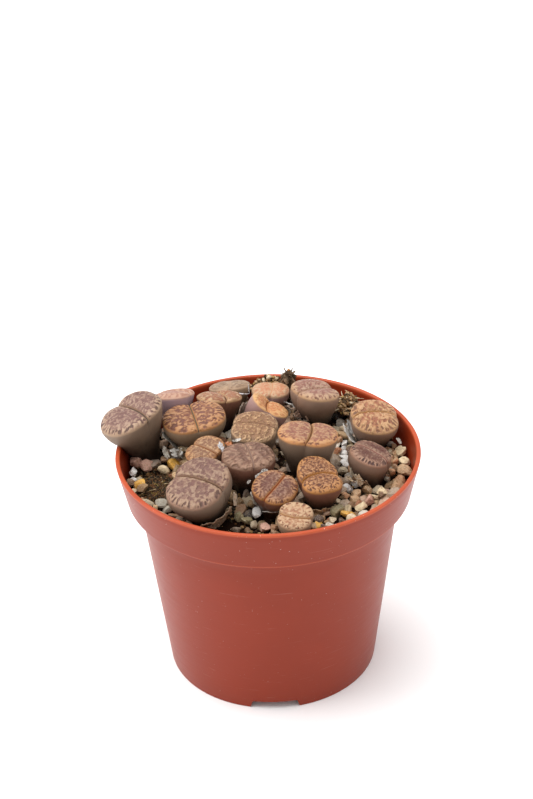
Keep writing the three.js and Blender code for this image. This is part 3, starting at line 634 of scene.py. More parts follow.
def finished(bm, name, material, nodes=()):
    """Makes a piece of a bmesh in millimetres round the pot's axis."""
    bmesh.ops.transform(bm, matrix=TO_FRAME, verts=bm.verts)
    for face in bm.faces:
        face.smooth = True
    mesh = as_mesh(bm, name)
    mesh.materials.append(material)
    made = linked(name, mesh)
    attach(made, "root")
    if nodes:
        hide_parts(*nodes)
    return made


def turned(profile, steps):
    """A bmesh turned about the pot's axis from (radius, height) pairs that start and end on it."""
    bm = bmesh.new()
    corners = [bm.verts.new((r, 0, z)) for r, z in profile]
    rims = [bm.edges.new(pair) for pair in zip(corners, corners[1:])]
    bmesh.ops.spin(bm, geom=corners + rims, cent=(0, 0, 0), axis=(0, 0, 1), dvec=(0, 0, 0),
                   angle=2 * pi, steps=steps, use_merge=True, use_duplicate=False)
    bmesh.ops.remove_doubles(bm, verts=bm.verts, dist=1e-4)
    bmesh.ops.recalc_face_normals(bm, faces=bm.faces)
    return bm


def rounded(x, z, radius, start, end, points=5):
    """Points on a quarter round whose middle is x, z, from one angle to another in degrees."""
    angles = [radians(blend(start, end, i / (points - 1))) for i in range(points)]
    return [(x + radius * cos(a), z + radius * sin(a)) for a in angles]


def stretch(a, b, pieces):
    """Evenly spaced points after a and up to b."""
    return [(blend(a[0], b[0], i / pieces), blend(a[1], b[1], i / pieces)) for i in range(1, pieces + 1)]


def added(bm, mesh):
    """Copies a mesh into a bmesh and returns its new vertices."""
    before = len(bm.verts)
    bm.from_mesh(mesh)
    bm.verts.ensure_lookup_table()
    return bm.verts[before:]


def scatter(bm, meshes, spots, layers, draw):
    """Joins a turned and scaled copy of one of the meshes at each spot (place, sizes, values)."""
    for at, sizes, values in spots:
        new = added(bm, draw.choice(meshes))
        turn = Matrix.Rotation(draw.uniform(0, 2 * pi), 4, "Z")
        turn = turn @ Matrix.Rotation(draw.uniform(-0.6, 0.6), 4, "X")
        turn = turn @ Matrix.Rotation(draw.uniform(-0.6, 0.6), 4, "Y")
        grown = Matrix.Translation(at) @ turn @ Matrix.Diagonal((*sizes, 1))
        bmesh.ops.transform(bm, matrix=grown, verts=new)
        for vert in new:
            for layer, value in zip(layers, values):
                vert[layer] = value


def lump_mesh(rough=0.0):
    """A small closed lump of radius 1."""
    bm = bmesh.new()
    bmesh.ops.create_icosphere(bm, subdivisions=1, radius=1)
    for vert in bm.verts:
        vert.co *= 1 + rough * noise.noise(vert.co * 1.7)
    return as_mesh(bm, "lump")


def straight_stalk(sides=5, rings=5):
    """A rod of length 1 and radius 1 along Z, with rings to bend it at."""
    bm = bmesh.new()
    bmesh.ops.create_cone(bm, cap_ends=True, segments=sides, radius1=1, radius2=1, depth=1,
                          matrix=Matrix.Translation((0, 0, 0.5)))
    upright = [e for e in bm.edges if abs(e.verts[0].co.z - e.verts[1].co.z) > 0.5]
    bmesh.ops.subdivide_edges(bm, edges=upright, cuts=rings - 1)
    return as_mesh(bm, "stalk")


def strand(bm, rod, layer, start, way, length, thick, bend, colour):
    """A bent stalk that tapers, from a copy of the rod."""
    turn = Vector(way).to_track_quat("Z", "Y").to_matrix().to_4x4()
    new = added(bm, rod)
    for vert in new:
        x, y, z = vert.co
        taper = thick * blend(1, 0.4, z)
        vert.co = (x * taper + bend * z * z, y * taper, z * length)
        vert[layer] = (*colour, 1)
    bmesh.ops.transform(bm, matrix=Matrix.Translation(start) @ turn, verts=new)


def pot_shell():
    edge = EDGE_ROUND
    outer = [(BASE_RADIUS - WALL, 0.0)] + rounded(BASE_RADIUS - 0.3, 0.3, 0.3, -90, 0)
    top = (BODY_TOP_RADIUS - 0.1, STEP_HEIGHT - 0.6)
    outer += stretch(outer[-1], top, 12)
    outer += [(BODY_TOP_RADIUS + 0.35, STEP_HEIGHT)]
    outer += stretch(outer[-1], (COLLAR_FOOT_RADIUS - 0.6, STEP_HEIGHT), 2)
    outer += rounded(COLLAR_FOOT_RADIUS - edge, STEP_HEIGHT + edge, edge, -90, 0)
    outer += stretch(outer[-1], (RIM_RADIUS, POT_HEIGHT - edge), 5)
    outer += rounded(RIM_RADIUS - edge, POT_HEIGHT - edge, edge, 0, 90)
    inner_top = inner_collar(POT_HEIGHT) + edge
    outer += rounded(inner_top, POT_HEIGHT - edge, edge, 90, 180)
    step_in = STEP_HEIGHT + WALL
    outer += stretch(outer[-1], (inner_collar(step_in), step_in), 4)
    outer += [(outer_body(STEP_HEIGHT) - WALL, step_in)]
    outer += stretch(outer[-1], (outer_body(FLOOR_TOP) - WALL, FLOOR_TOP), 4)
    outer += stretch(outer[-1], (0, FLOOR_TOP), 6)
    under = stretch((0, FLOOR_UNDERSIDE), (BASE_RADIUS - WALL, FLOOR_UNDERSIDE), 6)
    return turned([(0, FLOOR_UNDERSIDE)] + under + outer, 192)


def pot_cuts():
    """The three foot notches and the drain holes, as one mesh to cut with."""
    notch = bmesh.new()
    for vert in bmesh.ops.create_cube(notch, size=1)["verts"]:
        low = vert.co.z < 0
        wide = NOTCH_FOOT_WIDTH if low else NOTCH_TOP_WIDTH
        vert.co = (vert.co.x * wide, -BASE_RADIUS + vert.co.y * 8, -1 if low else NOTCH_HEIGHT)
    top = [e for e in notch.edges if min(v.co.z for v in e.verts) > 0 and e.verts[0].co.x == e.verts[1].co.x]
    bmesh.ops.bevel(notch, geom=top, offset=0.6, segments=3, affect="EDGES", profile=0.5, material=-1)
    blank = as_mesh(notch, "notch")
    bm = bmesh.new()
    turn = Matrix.Rotation(2 * pi / NOTCHES, 3, "Z")
    for _ in range(NOTCHES):
        bmesh.ops.rotate(bm, verts=bm.verts, matrix=turn)
        bm.from_mesh(blank)
    bpy.data.meshes.remove(blank)
    for i in range(DRAINS + 1):
        ring = 0 if i == DRAINS else DRAIN_RING_RADIUS
        turn = 2 * pi * (i + 0.5) / DRAINS
        spot = Matrix.Translation((ring * cos(turn), ring * sin(turn), 4.5))
        bmesh.ops.create_cone(bm, cap_ends=True, segments=24, radius1=DRAIN_RADIUS,
                              radius2=DRAIN_RADIUS, depth=4, matrix=spot)
    return bm


class LITHOPS_OT_pot(bpy.types.Operator):
    """Turn the pot, cut its foot notches and drain holes, and give it its plastic"""

    bl_idname = "lithops.pot"
    bl_label = "Pot"

    def execute(self, context):
        settings = context.scene.lithops_pot
        shell = finished(pot_shell(), "pot_shell", pot_material(settings), ["pot"])
        bm = pot_cuts()
        bmesh.ops.transform(bm, matrix=TO_FRAME, verts=bm.verts)
        cuts = as_mesh(bm, "cuts")
        cutter = linked("cuts", cuts)
        cut = shell.modifiers.new("cut", "BOOLEAN")
        cut.operation = "DIFFERENCE"
        cut.solver = "EXACT"
        cut.object = cutter
        seen = shell.evaluated_get(context.evaluated_depsgraph_get())
        mesh = bpy.data.meshes.new_from_object(seen)
        shell.modifiers.clear()
        shell.data = mesh
        mesh.set_sharp_from_angle(angle=radians(38))
        bpy.data.objects.remove(cutter)
        bpy.data.meshes.remove(cuts)
        if len(mesh.polygons) < FEWEST_POT_FACES:
            raise RuntimeError("the pot lost its wall when its notches were cut")
        return {"FINISHED"}


# Leaf pairs


def directions(head):
    tip = radians(head["lean"])
    way = radians(head["towards"])
    out = Vector((sin(tip) * cos(way), sin(tip) * sin(way), cos(tip)))
    cleft = Vector((cos(radians(head["fissure"])), sin(radians(head["fissure"])), 0))
    return out, cleft


def depth(head, z):
    """How far down its head a height is, from the face (0) to the tip of the root (1)."""
    return (head["at"][2] - z) / (head["at"][2] - ROOT_TIP)


def station(head, down):
    """Where the head's axis is, and how its cross-section stands there."""
    out, cleft = directions(head)
    shoulder = SHOULDER * min(head["along"], head["across"])
    face = Vector(head["at"]) - out * shoulder
    root = Vector((*head["root"], ROOT_TIP))
    start = out.lerp(UP, head["droop"])
    bend = face - start * 0.45 * (head["at"][2] - ROOT_TIP)
    at = face * (1 - down) ** 2 + bend * 2 * down * (1 - down) + root * down * down
    normal = out.lerp(UP, down).normalized()
    along = (cleft - normal * normal.dot(cleft)).normalized()
    return at, normal, along, normal.cross(along), shoulder


def width(head, down):
    """The share of the face's width that the body keeps."""
    at_gravel = depth(head, GRAVEL_TOP)
    belly = 1 + BELLY * sin(pi * min(down / (0.6 * at_gravel), 1))
    if down <= at_gravel:
        return belly * blend(1, head["waist"], (down / at_gravel) ** head["taper"])
    return blend(head["waist"], ROOT_WIDTH, (down - at_gravel) / (1 - at_gravel))


def round_place(u, v):
    """A square's point as a point of a round: across, along, how far out and which way."""
    a, b = u * sqrt(1 - v * v / 2), v * sqrt(1 - u * u / 2)
    return a, b, hypot(a, b), atan2(b, a)


def section(head, share, down, u, v, grow=0.0):
    """A point of the cross-section in its own two directions, with the crease at the cleft's ends."""
    a, b, reach, angle = round_place(u, v)
    c, s = abs(cos(angle)), abs(sin(angle))
    squared = (c ** OUTLINE_POWER + s ** OUTLINE_POWER) ** (-1 / OUTLINE_POWER)
    fade = max(0.0, 1 - down / 0.6)
    drawn = head["pinch"] * exp(-((s / 0.25) ** 2)) * reach ** 4 * fade
    from_crease = s * head["across"] * share / CREASE_WIDTH
    crease = CREASE_DEPTH / head["along"] * exp(-from_crease ** 2) * reach ** 4
    crease *= ease(down, CREASE_LENGTH, 0.0)
    outline = squared * (1 - drawn - (0 if grow else crease))
    x = (head["along"] * share + grow) * a * outline
    bend = head["offset"] * (1 - reach * reach) + head["bow"] * (1 - a * a)
    y = (head["across"] * share + grow) * (b + bend * (1 - down)) * outline
    return x, y, a, b, reach, angle


def clear_of_rim(p):
    """Eases a point that would pass through the pot's lip to the inside of it."""
    reach = hypot(p.x, p.y)
    allowed = inner_collar(min(p.z, POT_HEIGHT)) - 0.3 + max(0.0, p.z - POT_HEIGHT - 0.3) * 2.4
    if reach > allowed - 1.5:
        soft = 0.35
        kept = allowed - soft * log(1 + exp(min((allowed - reach) / soft, 40)))
        p = Vector((p.x * kept / reach, p.y * kept / reach, p.z))
    return p


def face_height(head, reach, b, x, y, number):
    """How far the face stands out of its cross-section's plane, with a shallow unevenness."""
    shoulder = SHOULDER * min(head["along"], head["across"])
    swell = shoulder * sqrt(max(0.0, 1 - reach ** 4.5))
    crown = CROWN * head["along"] * (1 - reach * reach)
    cleft = abs(b) * head["across"]
    valley = head["lobe"] * head["across"] * exp(-((cleft / (0.26 * head["across"])) ** 2))
    valley += head["fold"] * head["across"] * (1 - sqrt(b * b + 0.01))
    slit = head["slit"] * CLEFT_DEPTH * head["across"] * exp(-((cleft / CLEFT_WIDTH) ** 2))
    inside = 1 - reach ** 6
    uneven = noise.noise(Vector((x / 3.4, y / 3.4, number * 2.7))) * 0.22
    return swell + crown - slit * (0.35 + 0.65 * inside) - valley * (0.55 + 0.45 * inside) + uneven * inside


def head_blank(face_cuts, side_cuts):
    """A cube of side 2 with its faces cut, and its rows drawn towards the cleft and the margins."""
    bm = bmesh.new()
    bmesh.ops.create_cube(bm, size=2)
    upright = [e for e in bm.edges if abs(e.verts[0].co.z - e.verts[1].co.z) > 1]
    bmesh.ops.subdivide_edges(bm, edges=upright, cuts=side_cuts, use_grid_fill=True)
    level = [e for e in bm.edges if abs(e.verts[0].co.z - e.verts[1].co.z) < 1e-5]
    bmesh.ops.subdivide_edges(bm, edges=level, cuts=face_cuts, use_grid_fill=True)
    under = [f for f in bm.faces if f.normal.z < -0.9]
    bmesh.ops.delete(bm, geom=under, context="FACES")
    rim = [e for e in bm.edges if e.is_boundary]
    bmesh.ops.holes_fill(bm, edges=rim)
    for vert in bm.verts:
        u, v, w = vert.co
        u = blend(u, sin(u * pi / 2), 0.6)
        v = blend(v, (1 if v > 0 else -1) * v * v * (3 - 2 * abs(v)), 0.62)
        vert.co = (u, v, w)
    return bm


def head_mesh(number, head, settings):
    bm = head_blank(settings.face_cuts, settings.side_cuts)
    face = bm.verts.layers.float_vector.new("face")
    form = bm.verts.layers.float_vector.new("form")
    run = bm.verts.layers.float.new("run")
    stations = {}
    at_gravel = depth(head, GRAVEL_TOP)
    for vert in bm.verts:
        u, v, w = vert.co
        down = round((1 - w) / 2, 6)
        if down not in stations:
            stations[down] = (*station(head, down), width(head, down))
        at, normal, along, across, _, share = stations[down]
        x, y, _, b, reach, angle = section(head, share, down, u, v)
        radius = hypot(head["along"] * cos(angle), head["across"] * sin(angle))
        z = 0.0
        cleft = abs(b) * head["across"] * share
        if down == 0:
            z = face_height(head, reach, b, x, y, number)
            rim = (1 - reach) * radius
        else:
            rim = -down * (head["at"][2] - ROOT_TIP)
            cleft += 20 * ease(down, 0.0, CREASE_LENGTH * 1.5)
        dent = 1 + 0.012 * noise.noise(Vector((x / 4, y / 4, down * 4 + number)))
        vert.co = clear_of_rim(at + along * x * dent + across * y * dent + normal * z)
        vert[face] = (x, y + (40 if b > 0 else 0), 0)
        vert[form] = (rim, cleft, min(down / at_gravel, 1.2))
        vert[run] = abs(angle) * radius + (60 if b > 0 else 0)
    bmesh.ops.recalc_face_normals(bm, faces=bm.faces)
    keep_inside(bm, f"leaf_pair_{number:02d}")
    return bm


def keep_inside(bm, node):
    """Draws a piece in along the directions where it would leave its solid's box."""
    low, high = ((corner - POT_AXIS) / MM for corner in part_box(node))
    for i in range(3):
        places = [v.co[i] for v in bm.verts]
        least, most = min(places), max(places)
        if least >= low[i] and most <= high[i]:
            continue
        start, end = max(least, low[i]), min(most, high[i])
        for vert in bm.verts:
            vert.co[i] = blend(start, end, (vert.co[i] - least) / (most - least))


class LITHOPS_OT_heads(bpy.types.Operator):
    """Grow the eighteen leaf pairs, with their clefts, relief and markings"""

    bl_idname = "lithops.heads"
    bl_label = "Leaf pairs"

    def execute(self, context):
        settings = context.scene.lithops_heads
        for number, (head, look) in enumerate(zip(HEADS, LOOKS), 1):
            node = f"leaf_pair_{number:02d}"
            bm = head_mesh(number, head, settings)
            finished(bm, f"head_{number:02d}", leaf_material(number, look), [node])
        return {"FINISHED"}


# Soil and stones


def bare(x, y, grow=0.0):
    """How deep inside the bare patch a place is: 1 in the middle, 0 at the edge and beyond."""
    turn = radians(BARE_PATCH["turn"])
    dx, dy = x - BARE_PATCH["x"], y - BARE_PATCH["y"]
    u = (dx * cos(turn) + dy * sin(turn)) / (BARE_PATCH["half_wide"] + grow)
    v = (dy * cos(turn) - dx * sin(turn)) / (BARE_PATCH["half_long"] + grow)
    return max(0.0, 1 - hypot(u, v))


def soil_height(x, y):
    rough = noise.noise(Vector((x / 6, y / 6, 3))) * 0.9 + noise.noise(Vector((x / 1.3, y / 1.3, 8))) * 0.5
    mound = ease(bare(x, y, 2), 0, 0.5) * 2.6
    return SOIL_LEVEL + rough + mound - 0.9 * sparse(x, y)


def soil_mesh(settings):
    low = FLOOR_TOP + SOIL_TO_FLOOR
    inner = outer_body(FLOOR_TOP) - WALL - SOIL_TO_WALL
    profile = [(0, low)] + stretch((0, low), (inner, low), 3)
    upper = outer_body(STEP_HEIGHT) - WALL - SOIL_TO_WALL
    profile += stretch(profile[-1], (upper, STEP_HEIGHT + 0.6), 6)
    profile += [(SOIL_RADIUS, SOIL_FLAT - 1)]
    rings = ceil(SOIL_RADIUS / settings.soil_step)
    profile += stretch((SOIL_RADIUS, SOIL_FLAT), (0, SOIL_FLAT), rings)
    bm = turned(profile, 168)
    for vert in bm.verts:
        if vert.co.z > SOIL_FLAT - 0.5:
            vert.co.z = soil_height(vert.co.x, vert.co.y)
    return bm


def blank_stones(count, seed):
    """Small closed meshes, each a stone of radius 1 with flats where it was crushed."""
    draw = random.Random(seed)
    made = []
    for i in range(count):
        bm = bmesh.new()
        bmesh.ops.create_cube(bm, size=2)
        bmesh.ops.subdivide_edges(bm, edges=bm.edges, cuts=2, use_grid_fill=True)
        worn = draw.uniform(0.7, 1)
        flats = [(Vector([draw.gauss(0, 1) for _ in "xyz"]).normalized(), draw.uniform(0.46, 0.84))
                 for _ in range(7)]
        for vert in bm.verts:
            way = vert.co.normalized()
            co = way * (1.1 + 0.34 * noise.noise(way * 1.5 + Vector((i * 3.1, 0, 0))))
            for _ in range(2):
                for normal, far in flats:
                    over = co.dot(normal) - far
                    if over > 0:
                        co = co - normal * over * worn
            vert.co = co
        made.append(as_mesh(bm, f"stone {i}"))
    return made


def body_distance(x, y, z):
    """How far a place is from the nearest head's body, in millimetres; below 0 inside it."""
    nearest = 99.0
    for head in HEADS:
        if hypot(x - head["at"][0], y - head["at"][1]) > 26:
            continue
        down = min(max(depth(head, z), 0), 1)
        at, _, along, across, _ = station(head, down)
        share = width(head, down)
        off = Vector((x - at.x, y - at.y, 0))
        u = off.dot(along) / (head["along"] * share)
        v = off.dot(across) / (head["across"] * share)
        half = (head["along"] + head["across"]) / 2 * share
        nearest = min(nearest, (hypot(u, v) - 1) * half)
    return nearest


# The grit's colours and how often each comes.
STONE_TINTS = [
    ("dfc9a8", 15), ("cda97e", 17), ("c9a58a", 12), ("b89f88", 9), ("c9946a", 9), ("a07a5a", 9),
    ("d3a68e", 4), ("8a6648", 7), ("e2d6c6", 8), ("6c5040", 5), ("e2a648", 1), ("b0704a", 4),
    ("a08b7c", 5), ("cd8768", 3), ("523e34", 3),
]
SOIL_TINTS = ("2a160a", "180c06", "3e2412", "543318", "0e0703", "6a4a2a", "86683f", "a4845a")
MOSS_TINTS = ("5e3c1a", "8a6a30", "a88c3e", "4a2a14", "2a160a", "7a4c26", "5a3818", "3a200e")
# Stones that stand out lie in short rows: their kind, the row's two ends, how many they are and
# how wide each is.
STONE_KINDS = {"white": "e0dcd8", "cream": "e8d0a8", "yellow": "e8b048", "tan": "c8a078",
               "rose": "cc9c88", "grey": "a8a090", "olive": "948864", "brown": "90704c",
               "black": "20242c"}
STONE_ROWS = [
    ("rose", (-53, 7), (-49, 5), 2, 5),
    ("grey", (-45, 9), (-45, 9), 1, 4),
    ("cream", (-42, 2), (-42, 2), 1, 5),
    ("yellow", (-38, 5), (-38, 5), 1, 4),
    ("white", (-54, 0), (-53, -6), 2, 4),
    ("yellow", (-50, -11), (-50, -11), 1, 4),
    ("brown", (-49, -15), (-49, -15), 1, 4),
    ("grey", (-42, -25), (-39, -28), 2, 4),
    ("white", (34, -13), (30, -16), 2, 4),
    ("tan", (34, -19), (33, -23), 2, 4),
    ("brown", (38, -18), (47, -14), 2, 4),
    ("cream", (40, -22), (44, -19), 2, 4),
    ("rose", (38, -26), (38, -26), 1, 5),
    ("cream", (35, -29), (30, -31), 2, 4),
    ("tan", (50, -15), (53, -5), 2, 5),
    ("grey", (46, -11), (49, -1), 2, 3),
    ("yellow", (30, -35), (30, -35), 1, 5),
    ("olive", (25, -33), (25, -33), 1, 5),
    ("white", (31, 17), (30, 1), 6, 3),
    ("yellow", (32, 24), (32, 24), 1, 3),
    ("tan", (51, 15), (51, 3), 3, 3),
    ("cream", (53, 10), (54, 1), 2, 5),
    ("olive", (-12, -32), (-9, -35), 2, 4),
    ("white", (-5, -30), (-5, -30), 1, 5),
    ("brown", (-7, -24), (-11, -21), 2, 3),
    ("rose", (-2, -40), (-2, -40), 1, 4),
    ("yellow", (18, -41), (18, -41), 1, 4),
    ("tan", (17, -32), (22, -38), 3, 3),
    ("white", (-14, 36), (-14, 36), 1, 4),
    ("white", (-26, 50), (-26, 50), 1, 5),
    ("black", (29, 39), (29, 39), 1, 6),
]

# Where the soil shows between few stones: middle and half widths.
SPARSE = [
    (-10, -36, 13, 12), (-40, 13, 5, 5), (-14, -24, 7, 6), (6, 9, 5, 8), (25, 0, 3.5, 8), (17.5, 29, 6, 4),
    (28, 32, 5, 5), (-33, 24, 10, 5), (-45, 0.5, 9, 6),
]


def sparse(x, y):
    """1 where the soil shows between few stones, and 0 elsewhere."""
    return max(ease(hypot((x - a) / wide, (y - b) / long), 1.15, 0.75) for a, b, wide, long in SPARSE)


def standout_stones(draw):
    """Stones that stand out, along their rows, inside the collar and clear of the heads."""
    placed = []
    for kind, start, end, count, across in STONE_ROWS:
        for i in range(count):
            share = i / max(count - 1, 1)
            size = across * draw.uniform(0.48, 0.58)
            x = blend(start[0], end[0], share) + draw.uniform(-0.5, 0.5)
            y = blend(start[1], end[1], share) + draw.uniform(-0.5, 0.5)
            z = soil_height(x, y) + size * 0.6 + 0.5
            inwards = min(1, (inner_collar(z) - STONE_TO_RIM - size) / hypot(x, y))
            x, y = x * inwards, y * inwards
            if body_distance(x, y, z) > size * 0.4:
                shade = draw.uniform(0.88, 1.05)
                placed.append((x, y, z, size, [c * shade for c in paint(STONE_KINDS[kind])]))
    return placed


def stone_spots(settings):
    """Places the stones that stand out, and then others layer by layer, the large ones first, clear
    of the heads and of each other."""
    draw = random.Random(settings.seed)
    tints = [paint(code) for code, count in STONE_TINTS for _ in range(count)]
    laid = standout_stones(random.Random(settings.seed + 5))
    for lift, tries in ((0.0, settings.tries), (1.3, settings.tries), (2.4, settings.tries // 2)):
        layer = []
        for i in range(tries):
            large = (1 - i / tries) ** 1.6
            size = blend(settings.smallest, settings.largest, large * draw.uniform(0.55, 1)) / 2
            turn = draw.uniform(0, 2 * pi)
            far = sqrt(draw.random()) * STONES_REACH
            x, y = far * cos(turn), far * sin(turn)
            z = soil_height(x, y) + lift + size * 0.2
            if far > inner_collar(z) - STONE_TO_RIM - size or bare(x, y) > 0.06:
                continue
            if draw.random() < sparse(x, y) * (0.98 if lift else 0.86):
                continue
            if z + size > HIGHEST_STONE:
                continue
            if any(hypot(x - p[0], y - p[1]) < 0.8 * (size + p[3]) for p in layer):
                continue
            if any(Vector((x - p[0], y - p[1], z - p[2])).length < 0.78 * (size + p[3]) for p in laid):
                continue
            if body_distance(x, y, z) < size * 0.8:
                continue
            # Stones where the soil shows are made darker as painted shade in the gaps between heads; the
            # random spread is their own tone.
            shade = draw.uniform(0.65, 1.05) * (1 - 0.35 * sparse(x, y))
            tint = [c * shade for c in draw.choice(tints)]
            layer.append((x, y, z, size, tint))
        laid += layer
    spots = []
    for x, y, z, size, tint in laid:
        sizes = [size * draw.uniform(*share) for share in ((1.0, 1.4), (0.85, 1.1), (0.7, 0.95))]
        spots.append(((x, y, z), sizes, ((*[min(c, 0.88) for c in tint], 1), draw.uniform(0, 90))))
    return spots


class LITHOPS_OT_fill(bpy.types.Operator):
    """Fill the pot with soil, its crumbs and the grit that covers it"""

    bl_idname = "lithops.fill"
    bl_label = "Soil and grit"

    def execute(self, context):
        settings = context.scene.lithops_fill
        finished(soil_mesh(settings), "soil_fill", soil_material(), ["soil"])
        draw = random.Random(settings.seed + 1)
        bm = bmesh.new()
        layers = (bm.verts.layers.float_color.new("stone"), bm.verts.layers.float.new("stone_seed"))
        blanks = blank_stones(14, settings.seed)
        scatter(bm, blanks, stone_spots(settings), layers, draw)
        grit = finished(bm, "grit_stones", stone_material(), ["gravel"])
        grit.data.set_sharp_from_angle(angle=radians(34))
        self.crumbs(settings)
        for mesh in blanks:
            bpy.data.meshes.remove(mesh)
        return {"FINISHED"}

    def crumbs(self, settings):
        """Small lumps of soil and bits of bark between the stones and on the bare patch."""
        draw = random.Random(settings.seed + 2)
        blank = lump_mesh(0.3)
        tints = [paint(code) for code in SOIL_TINTS]
        bm = bmesh.new()
        layers = (bm.verts.layers.float_color.new("litter"),)
        spots = []
        while len(spots) < settings.crumbs:
            turn, far = draw.uniform(0, 2 * pi), sqrt(draw.random()) * CRUMBS_REACH
            x, y = far * cos(turn), far * sin(turn)
            if draw.random() < 0.4:
                x = BARE_PATCH["x"] + draw.gauss(0, 5)
                y = BARE_PATCH["y"] + draw.gauss(0, 7)
            elif draw.random() < 0.5 and sparse(x, y) < 0.3:
                continue
            size = draw.uniform(0.2, 0.85)
            z = soil_height(x, y) + size * 0.5
            if hypot(x, y) > inner_collar(z) - 0.6 - size or body_distance(x, y, z) < size * 0.5:
                continue
            tint = draw.choice(tints[:5] if bare(x, y) > 0 else tints)
            sizes = (size * draw.uniform(0.8, 1.7), size, size * draw.uniform(0.5, 1))
            spots.append(((x, y, z), sizes, ((*tint, 1),)))
        scatter(bm, [blank], spots, layers, draw)
        bpy.data.meshes.remove(blank)
        self.moss(bm, layers[0], settings)
        finished(bm, "soil_crumbs", litter_material())

    def moss(self, bm, layer, settings):
        """Threads of moss and a few straws that lie over the bare patch."""
        draw = random.Random(settings.seed + 3)
        rod = straight_stalk(4, 4)
        tints = [Vector(paint(code)) for code in MOSS_TINTS]
        for i in range(settings.moss):
            x, y = BARE_PATCH["x"] + draw.gauss(0, 4.6), BARE_PATCH["y"] + draw.gauss(0, 7)
            at = Vector((x, y, soil_height(x, y) + draw.uniform(0, 0.7)))
            if hypot(x, y) > 52 or body_distance(*at) < 0.8:
                continue
            way = Vector((draw.gauss(0, 1), draw.gauss(0, 1), draw.uniform(-0.1, 0.5)))
            if i % 36:
                strand(bm, rod, layer, at, way, draw.uniform(0.9, 2.6), draw.uniform(0.07, 0.15),
                       draw.uniform(-0.7, 0.7), draw.choice(tints))
            else:
                way.z = 0.12
                strand(bm, rod, layer, at, way, draw.uniform(3, 5), draw.uniform(0.16, 0.28),
                       draw.uniform(-0.6, 0.6), Vector(paint("d2b98e")))
        bpy.data.meshes.remove(rod)


# Dry husks
SHEATH_THICKNESS = 0.18
SHEATH_ROOT = 3
SCRAP_THICKNESS = 0.12


def sheath_mesh(index, sheath):
    """A torn strip of dry skin that stands round part of a head."""
    head = HEADS[sheath["head"] - 1]
    bm = bmesh.new()
    tint = bm.verts.layers.float_color.new("paper")
    bmesh.ops.create_grid(bm, x_segments=44, y_segments=14, size=1)
    colour = paint(sheath["paper"])
    for vert in bm.verts:
        s, t = (vert.co.x + 1) / 2, (vert.co.y + 1) / 2
        turn = blend(sheath["start"], sheath["end"], s)
        torn = 1.6 * noise.noise(Vector((s * 9, index * 3.7, 0)))
        torn += 1.1 * noise.noise(Vector((s * 23, index, 5)))
        ends = ease(s, 0, 0.14) * ease(s, 1, 0.86)
        edge = GRAVEL_TOP + (sheath["rise"] + torn) * blend(0.35, 1, ends)
        z = blend(GRAVEL_TOP - SHEATH_ROOT, edge, t)
        down = min(max(depth(head, z), 0.02), 1)
        c, sn = cos(radians(turn)), sin(radians(turn))
        square = 1 / max(abs(c), abs(sn))
        crumple = noise.noise(Vector((s * 13, t * 4, index * 5.1)))
        crumple += 0.6 * noise.noise(Vector((s * 31, t * 9, index * 5.1)))
        grow = 0.8 + 0.6 * crumple + sheath["flare"] * t ** 2
        at, _, along, across, _ = station(head, down)
        x, y, *_ = section(head, width(head, down), down, c * square, sn * square, max(grow, 0.12))
        vert.co = at + along * x + across * y
        # The paper is paler where it bulges out and darker where it is pulled in: painted light and shade on
        # its crumples.
        vert[tint] = (*[v * (0.9 + 0.25 * crumple) for v in colour], 1)
    bmesh.ops.recalc_face_normals(bm, faces=bm.faces)
    bmesh.ops.solidify(bm, geom=bm.faces, thickness=SHEATH_THICKNESS)
    bmesh.ops.recalc_face_normals(bm, faces=bm.faces)
    return bm


